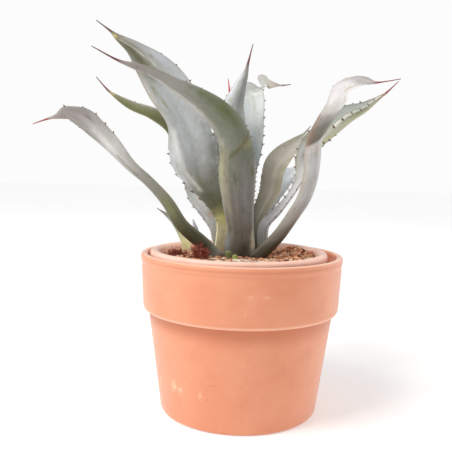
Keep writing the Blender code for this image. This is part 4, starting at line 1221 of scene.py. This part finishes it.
def tooth_material():
    """Horny tooth: dark brown, a little redder in places."""
    nodes = Nodes("agave_tooth", Roughness=0.4)
    patchy = nodes.noise(nodes.place(), 700.0, 2.0)
    return nodes.finish(nodes.mix(nodes.ramp(patchy, 0.35, 0.65), (0.09, 0.055, 0.04), (0.20, 0.12, 0.08)))


# Cut-back leaf bases: x, y, top, half width, facing
LEAF_STUBS = (
    (-0.0115, -0.0300, 0.1530, 0.0036, (0.3, 1.0, 0.1)),
    (-0.0060, -0.0335, 0.1500, 0.0025, (-0.1, 1.0, 0.1)),
    (-0.0015, 0.0330, 0.1545, 0.0060, (0.1, -1.0, 0.1)),
)
STUB_THICKNESS = 0.0035
STUB_LEAN = 0.25


def stub_leaf(x, y, top, half_width, facing):
    """A cut-back leaf base, as a short leaf that leans out from the stem."""
    lean = -STUB_LEAN * (top - LEAF_FOOT)
    stations = (
        (x, y, LEAF_FOOT, half_width),
        (x + facing[0] * lean, y + facing[1] * lean, (LEAF_FOOT + top) / 2, half_width),
        (x + facing[0] * lean * 2, y + facing[1] * lean * 2, top, half_width * 0.55),
    )
    return Leaf(stations, (facing, facing), channel=0.35, thickness=STUB_THICKNESS)


def add_leaves():
    """Every leaf, in the order of the table, then the cut-back bases."""
    materials = [leaf_material(), tooth_material()]
    leaves = dict(LEAVES)
    for number, stub in enumerate(LEAF_STUBS, 1):
        leaves[f"leaf_stub_{number}"] = stub_leaf(*stub)
    for seed, (name, leaf) in enumerate(leaves.items(), 1):
        add_leaf(name, leaf, LOOKS[name], materials, seed)


# ---------------------------------------------------------------- soil and what lies on it

# Mounds in the soil: x, y, radius, rise
SOIL_MOUNDS = (
    (0.052, 0.012, 0.026, 0.0065),
    (0.046, -0.034, 0.020, 0.0022),
    (-0.050, -0.040, 0.022, 0.0018),
    (-0.020, 0.052, 0.026, 0.0030),
)


def nursery_bore(z):
    """Radius of the nursery pot's inside at a height above its foot."""
    bottom = (NURSERY_FLOOR, NURSERY_BASE_RADIUS - NURSERY_WALL)
    middle = (NURSERY_HEIGHT - NURSERY_COLLAR_DEPTH, NURSERY_BODY_TOP_RADIUS - NURSERY_WALL)
    top = (NURSERY_HEIGHT, NURSERY_RIM_RADIUS - NURSERY_RIM_WALL)
    low, high = (bottom, middle) if z < middle[0] else (middle, top)
    return low[1] + (high[1] - low[1]) * (z - low[0]) / (high[0] - low[0])


def from_pot_axis(x, y):
    return math.hypot(x - NURSERY_OFFSET.x, y - NURSERY_OFFSET.y)


def soil_height(x, y):
    """Height of the soil's surface over a place on the ground plan."""
    out = from_pot_axis(x, y) / nursery_bore(NURSERY_HEIGHT)
    height = SOIL_LEVEL - SOIL_EDGE_DROP * max(0.0, out - 0.6) / 0.4
    for centre_x, centre_y, radius, rise in SOIL_MOUNDS:
        away = math.hypot(x - centre_x, y - centre_y) / radius
        if away < 1.0:
            height += rise * 0.5 * (1.0 + math.cos(math.pi * away))
    return height


def rough_soil_height(x, y):
    """The soil's height with its crumbs and hollows."""
    place = Vector((x * 140.0, y * 140.0, 0.0))
    fine = Vector((x * 520.0, y * 520.0, 4.0))
    return soil_height(x, y) + 0.0010 * noise.noise(place) + 0.0007 * noise.noise(fine)


SOIL_SEGMENTS = 200
SOIL_RINGS = 60


def soil_ring(radius, height):
    """A ring of points round the nursery pot's axis; height gives the z over each x and y."""
    ring = []
    for k in range(SOIL_SEGMENTS):
        angle = math.tau * k / SOIL_SEGMENTS
        x = radius * math.cos(angle) + NURSERY_OFFSET.x
        y = radius * math.sin(angle) + NURSERY_OFFSET.y
        ring.append(Vector((x, y, height(x, y))))
    return ring


def soil_material():
    """Red-brown potting soil with paler, drier patches."""
    nodes = Nodes("potting_soil_mix", Roughness=0.95, Specular_IOR_Level=0.15)
    place = nodes.place()
    crumbs = nodes.noise(place, 420.0, 4.0, 0.65)
    clouds = nodes.noise(place, 70.0, 3.0)
    colour = nodes.mix(nodes.ramp(crumbs, 0.35, 0.65), (0.26, 0.105, 0.058), (0.78, 0.37, 0.20))
    colour = nodes.mix(nodes.ramp(clouds, 0.45, 0.7, 0.0, 0.6), colour, (0.86, 0.52, 0.33))
    nodes.bump(crumbs, 0.9, 0.0012)
    return nodes.finish(colour)


def add_soil():
    """The soil plug, with a finely broken surface."""
    rim = SOIL_LEVEL - SOIL_EDGE_DROP - NURSERY_OFFSET.z
    rings = []
    for z in (NURSERY_FLOOR + GAP, NURSERY_HEIGHT - NURSERY_COLLAR_DEPTH, rim):
        rings.append(soil_ring(nursery_bore(z) - GAP, lambda x, y: z + NURSERY_OFFSET.z))
    for ring in range(1, SOIL_RINGS):
        radius = (nursery_bore(rim) - GAP) * (1.0 - ring / SOIL_RINGS)
        rings.append(soil_ring(radius, rough_soil_height))
    points, faces = [], []
    add_tube(points, faces, rings)
    made = add_mesh("soil_surface", points, faces, [soil_material()])
    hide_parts("soil")


def lump_points(rng, size, flatness):
    """A jagged eight-cornered crumb round the origin."""
    corners = []
    for x, y, z in itertools.product((-1, 1), repeat=3):
        reach = [rng.uniform(0.4, 1.0) for _ in range(3)]
        corners.append(Vector((x * reach[0], y * reach[1], z * reach[2] * flatness)) * size)
    turn = Matrix.Rotation(rng.uniform(0, math.tau), 3, "Z") @ Matrix.Rotation(rng.uniform(-0.6, 0.6), 3, "X")
    return [turn @ corner for corner in corners]


LUMP_FACES = ((0, 1, 3, 2), (4, 6, 7, 5), (0, 4, 5, 1), (2, 3, 7, 6), (0, 2, 6, 4), (1, 5, 7, 3))


MOST_SCATTER = 0.0725


def scatter_place(rng, inner, outer):
    """A random place on the soil between two radii from the nursery pot's axis."""
    radius = math.sqrt(rng.uniform(inner**2, outer**2))
    angle = rng.uniform(0.0, math.tau)
    return radius * math.cos(angle) + NURSERY_OFFSET.x, radius * math.sin(angle) + NURSERY_OFFSET.y


def crumb_material():
    """Rough crumbs and fibres in their own tints, darker in fine specks."""
    nodes = Nodes("soil_crumb", Roughness=0.95, Specular_IOR_Level=0.15)
    tint = nodes.attribute("tint", "Color")
    fine = nodes.noise(nodes.place(), 1500.0, 3.0)
    nodes.bump(fine, 0.6, 0.0004)
    darker = nodes.mix(1.0, tint, (0.5, 0.45, 0.4), "MULTIPLY")
    return nodes.finish(nodes.mix(nodes.ramp(fine, 0.3, 0.7, 0.0, 0.5), tint, darker))


CRUMB_COUNT = 5200
CRUMB_REACH = 0.0730
CRUMB_TINTS = (
    (0.60, 0.24, 0.125), (0.76, 0.36, 0.195), (0.34, 0.12, 0.065), (0.86, 0.54, 0.34),
    (0.78, 0.42, 0.24), (0.16, 0.060, 0.034), (0.90, 0.70, 0.49), (0.64, 0.27, 0.15),
)


def add_crumbs(material):
    """Thousands of crumbs strewn over the soil, thicker on the mounds."""
    rng = random.Random(41)
    points, faces, tints = [], [], []
    for index in range(CRUMB_COUNT):
        if index % 3 == 0:
            mound = SOIL_MOUNDS[0] if index % 2 else SOIL_MOUNDS[rng.randrange(1, 4)]
            x = mound[0] + rng.gauss(0, mound[2] * 0.42)
            y = mound[1] + rng.gauss(0, mound[2] * 0.42)
            if from_pot_axis(x, y) > MOST_SCATTER:
                continue
        else:
            x, y = scatter_place(rng, 0.0, CRUMB_REACH)
        size = rng.uniform(0.0005, 0.0013) * (1.0 + 0.9 * (rng.random() < 0.08))
        centre = Vector((x, y, rough_soil_height(x, y) + size * 0.35))
        start = len(points)
        points += [centre + corner for corner in lump_points(rng, size, 0.7)]
        faces += [tuple(start + k for k in face) for face in LUMP_FACES]
        tint = Vector(rng.choice(CRUMB_TINTS)) * rng.uniform(0.8, 1.2)
        tints += [(*tint, 1.0)] * 8
    made = add_mesh("soil_crumbs", points, faces, [material], smooth=False)
    store(made.data, "tint", tints, "FLOAT_COLOR")


CROSS = ((1, 0), (0, 1), (-1, 0), (0, -1))


def strand(points, faces, path, radius):
    """A thin four-sided fibre along a path."""
    rows = []
    for index, place in enumerate(path):
        after = path[min(index + 1, len(path) - 1)]
        before = path[max(index - 1, 0)]
        along = (after - before).normalized()
        side = along.orthogonal().normalized()
        other = along.cross(side)
        thin = radius * (1.0 if 0 < index < len(path) - 1 else 0.4)
        rows.append([place + (side * a + other * b) * thin for a, b in CROSS])
    add_tube(points, faces, rows)


def wandering_path(rng, start, heading, length, steps, curl, rise):
    """A fibre's path that wanders from a start."""
    path = [start]
    heading = heading.normalized()
    for _ in range(steps):
        swerve = Vector((rng.gauss(0, curl), rng.gauss(0, curl), rng.gauss(0, curl) * 0.6 + rise))
        heading = (heading + swerve).normalized()
        path.append(path[-1] + heading * length / steps)
    return path


# Coir clumps: x, y, half length, half width, half height
COIR_CLUMPS = (
    (-0.0370, -0.0385, 0.0074, 0.0062, 0.0070),
    (-0.060, -0.020, 0.0080, 0.0060, 0.0030),
)
COIR_FIBRES = 420
COIR_TINTS = ((0.30, 0.065, 0.042), (0.50, 0.13, 0.088), (0.13, 0.032, 0.022), (0.62, 0.22, 0.15))


def add_coir(material):
    """Two matted clumps of reddish coconut fibre."""
    for number, (x, y, half_length, half_width, half_height) in enumerate(COIR_CLUMPS, 1):
        rng = random.Random(70 + number)
        points, faces, tints = [], [], []
        foot = soil_height(x, y)
        for _ in range(COIR_FIBRES):
            angle = rng.uniform(0, math.tau)
            reach = rng.random() ** 0.6
            start = Vector((
                x + half_length * reach * math.cos(angle),
                y + half_width * reach * math.sin(angle),
                foot + 2.0 * half_height * math.sqrt(max(0.0, 1.0 - reach * reach)) * rng.uniform(0.15, 0.95),
            ))
            heading = Vector((rng.gauss(0, 1), rng.gauss(0, 1), rng.gauss(0, 0.5)))
            path = wandering_path(rng, start, heading, rng.uniform(0.003, 0.008), 6, 0.45, -0.05)
            path = [Vector((p.x, p.y, max(p.z, soil_height(p.x, p.y) + 0.0002))) for p in path]
            before = len(points)
            strand(points, faces, path, rng.uniform(0.00012, 0.00026))
            tints += [(*rng.choice(COIR_TINTS), 1.0)] * (len(points) - before)
        made = add_mesh(f"coir_clump_{number}_fibres", points, faces, [material])
        store(made.data, "tint", tints, "FLOAT_COLOR")
        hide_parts(f"coir_clump_{number}")


# Bark chips: x, y, half length, half width, half height, turn in degrees
BARK_CHIPS = (
    (0.020, -0.052, 0.0060, 0.0026, 0.0012, 12.0),
    (-0.004, -0.050, 0.0045, 0.0022, 0.0011, -25.0),
    (-0.022, -0.055, 0.0050, 0.0024, 0.0012, 40.0),
    (0.012, -0.062, 0.0036, 0.0022, 0.0011, 5.0),
    (0.062, -0.018, 0.0044, 0.0026, 0.0015, 30.0),
    (0.060, 0.030, 0.0046, 0.0028, 0.0015, -15.0),
    (-0.030, 0.056, 0.0048, 0.0026, 0.0013, 10.0),
    (0.022, 0.060, 0.0044, 0.0024, 0.0012, -40.0),
)
STRAW_TINTS = ((0.92, 0.82, 0.66), (0.84, 0.68, 0.50), (0.95, 0.88, 0.76), (0.66, 0.42, 0.27))


FLAKE_STEPS = 8


def flake(points, faces, rng, centre, length, width, thickness, turn):
    """A thin split flake with an uneven outline, slightly bowed."""
    forward = Vector((math.cos(turn), math.sin(turn), rng.uniform(-0.15, 0.15)))
    side = Vector((-math.sin(turn), math.cos(turn), rng.uniform(-0.2, 0.2)))
    rows = []
    for step in range(FLAKE_STEPS + 1):
        share = step / FLAKE_STEPS * 2 - 1
        wide = width * (1 - abs(share) ** 2.5) ** 0.5 * rng.uniform(0.75, 1.1) + 0.00015
        middle = centre + forward * length * share + Vector((0, 0, thickness * 1.2 * (1 - share * share)))
        rows.append([middle - side * wide * a + Vector((0, 0, thickness * b)) for a, b in CROSS])
    add_tube(points, faces, rows)


STRAW_COUNT = 420
STRAW_IN_FRONT = 280
STRAW_REACH = 0.0715


def add_chips(material):
    """The larger bark chips, and the straw and bract flakes strewn round them."""
    for number, (x, y, half_length, half_width, half_height, turn) in enumerate(BARK_CHIPS, 1):
        rng = random.Random(90 + number)
        points, faces = [], []
        centre = Vector((x, y, soil_height(x, y) + half_height * 0.9))
        flake(points, faces, rng, centre, half_length, half_width, half_height * 0.55, math.radians(turn))
        made = add_mesh(f"bark_chip_{number}_flake", points, faces, [material], smooth=False)
        store(made.data, "tint", [(*rng.choice(STRAW_TINTS), 1.0)] * len(points), "FLOAT_COLOR")
        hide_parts(f"bark_chip_{number}")
    rng = random.Random(7)
    points, faces, tints = [], [], []
    for index in range(STRAW_COUNT):
        if index < STRAW_IN_FRONT:
            x, y = rng.gauss(0.004, 0.024), rng.uniform(-0.068, -0.036)
        else:
            x, y = scatter_place(rng, 0.02, 0.071)
        if from_pot_axis(x, y) > STRAW_REACH:
            continue
        centre = Vector((x, y, rough_soil_height(x, y) + 0.0006))
        before = len(points)
        length, width = rng.uniform(0.0012, 0.0048), rng.uniform(0.0003, 0.0009)
        flake(points, faces, rng, centre, length, width, 0.00018, rng.gauss(0, 0.6))
        tints += [(*rng.choice(STRAW_TINTS), 1.0)] * (len(points) - before)
    made = add_mesh("straw_flakes", points, faces, [material], smooth=False)
    store(made.data, "tint", tints, "FLOAT_COLOR")


def add_ground_cover():
    """The soil and all that lies on it."""
    crumb = crumb_material()
    add_soil()
    add_crumbs(crumb)
    add_coir(crumb)
    add_chips(crumb)


# ---------------------------------------------------------------- stem


def stem_material():
    """Green-brown blotched skin."""
    nodes = Nodes("stem_skin", Roughness=0.7)
    place = nodes.place()
    blotch = nodes.noise(place, 160.0, 4.0)
    colour = nodes.mix(nodes.ramp(blotch, 0.35, 0.65), (0.30, 0.33, 0.12), (0.55, 0.50, 0.28))
    nodes.bump(blotch, 0.5, 0.001)
    return nodes.finish(colour)


def dress_stem():
    """Skin for the stem, which is shown as packed."""
    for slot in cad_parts["stem"].material_slots:
        slot.material = stem_material()


# ---------------------------------------------------------------- floor


FLOOR_GLOW = (0.26, 0.48)
FLOOR_GLOW_REACH = (0.25, 2.2)
FLOOR_REACH = 9.0


def add_floor():
    """A white table top that glows, a little near the pot, which lightens its shadows, and more far off, so
    that it meets the white surround with no horizon.
    """
    nodes = Nodes("white_table", Roughness=0.6, Emission_Color=WHITE)
    cloud = nodes.noise(nodes.place(), 3.0, 2.0)
    away = nodes.add("ShaderNodeVectorMath", operation="LENGTH")
    nodes.put(nodes.place(), away.inputs[0])
    glow = nodes.ramp(away.outputs["Value"], *FLOOR_GLOW_REACH, *FLOOR_GLOW)
    nodes.put(glow, nodes.shader.inputs["Emission Strength"])
    material = nodes.finish(nodes.mix(nodes.ramp(cloud, 0.3, 0.7), (0.80, 0.80, 0.80), (0.82, 0.82, 0.82)))
    mesh = bpy.data.meshes.new("floor")
    corners = [(x * FLOOR_REACH, y * FLOOR_REACH, 0.0) for x, y in ((-1, -1), (1, -1), (1, 1), (-1, 1))]
    mesh.from_pydata(corners, [], [(0, 1, 2, 3)])
    mesh.materials.append(material)
    floor = bpy.data.objects.new("floor", mesh)
    bpy.context.scene.collection.objects.link(floor)


add_camera()
add_lights()
add_world()
add_floor()
add_pots()
add_ground_cover()
add_leaves()
dress_stem()
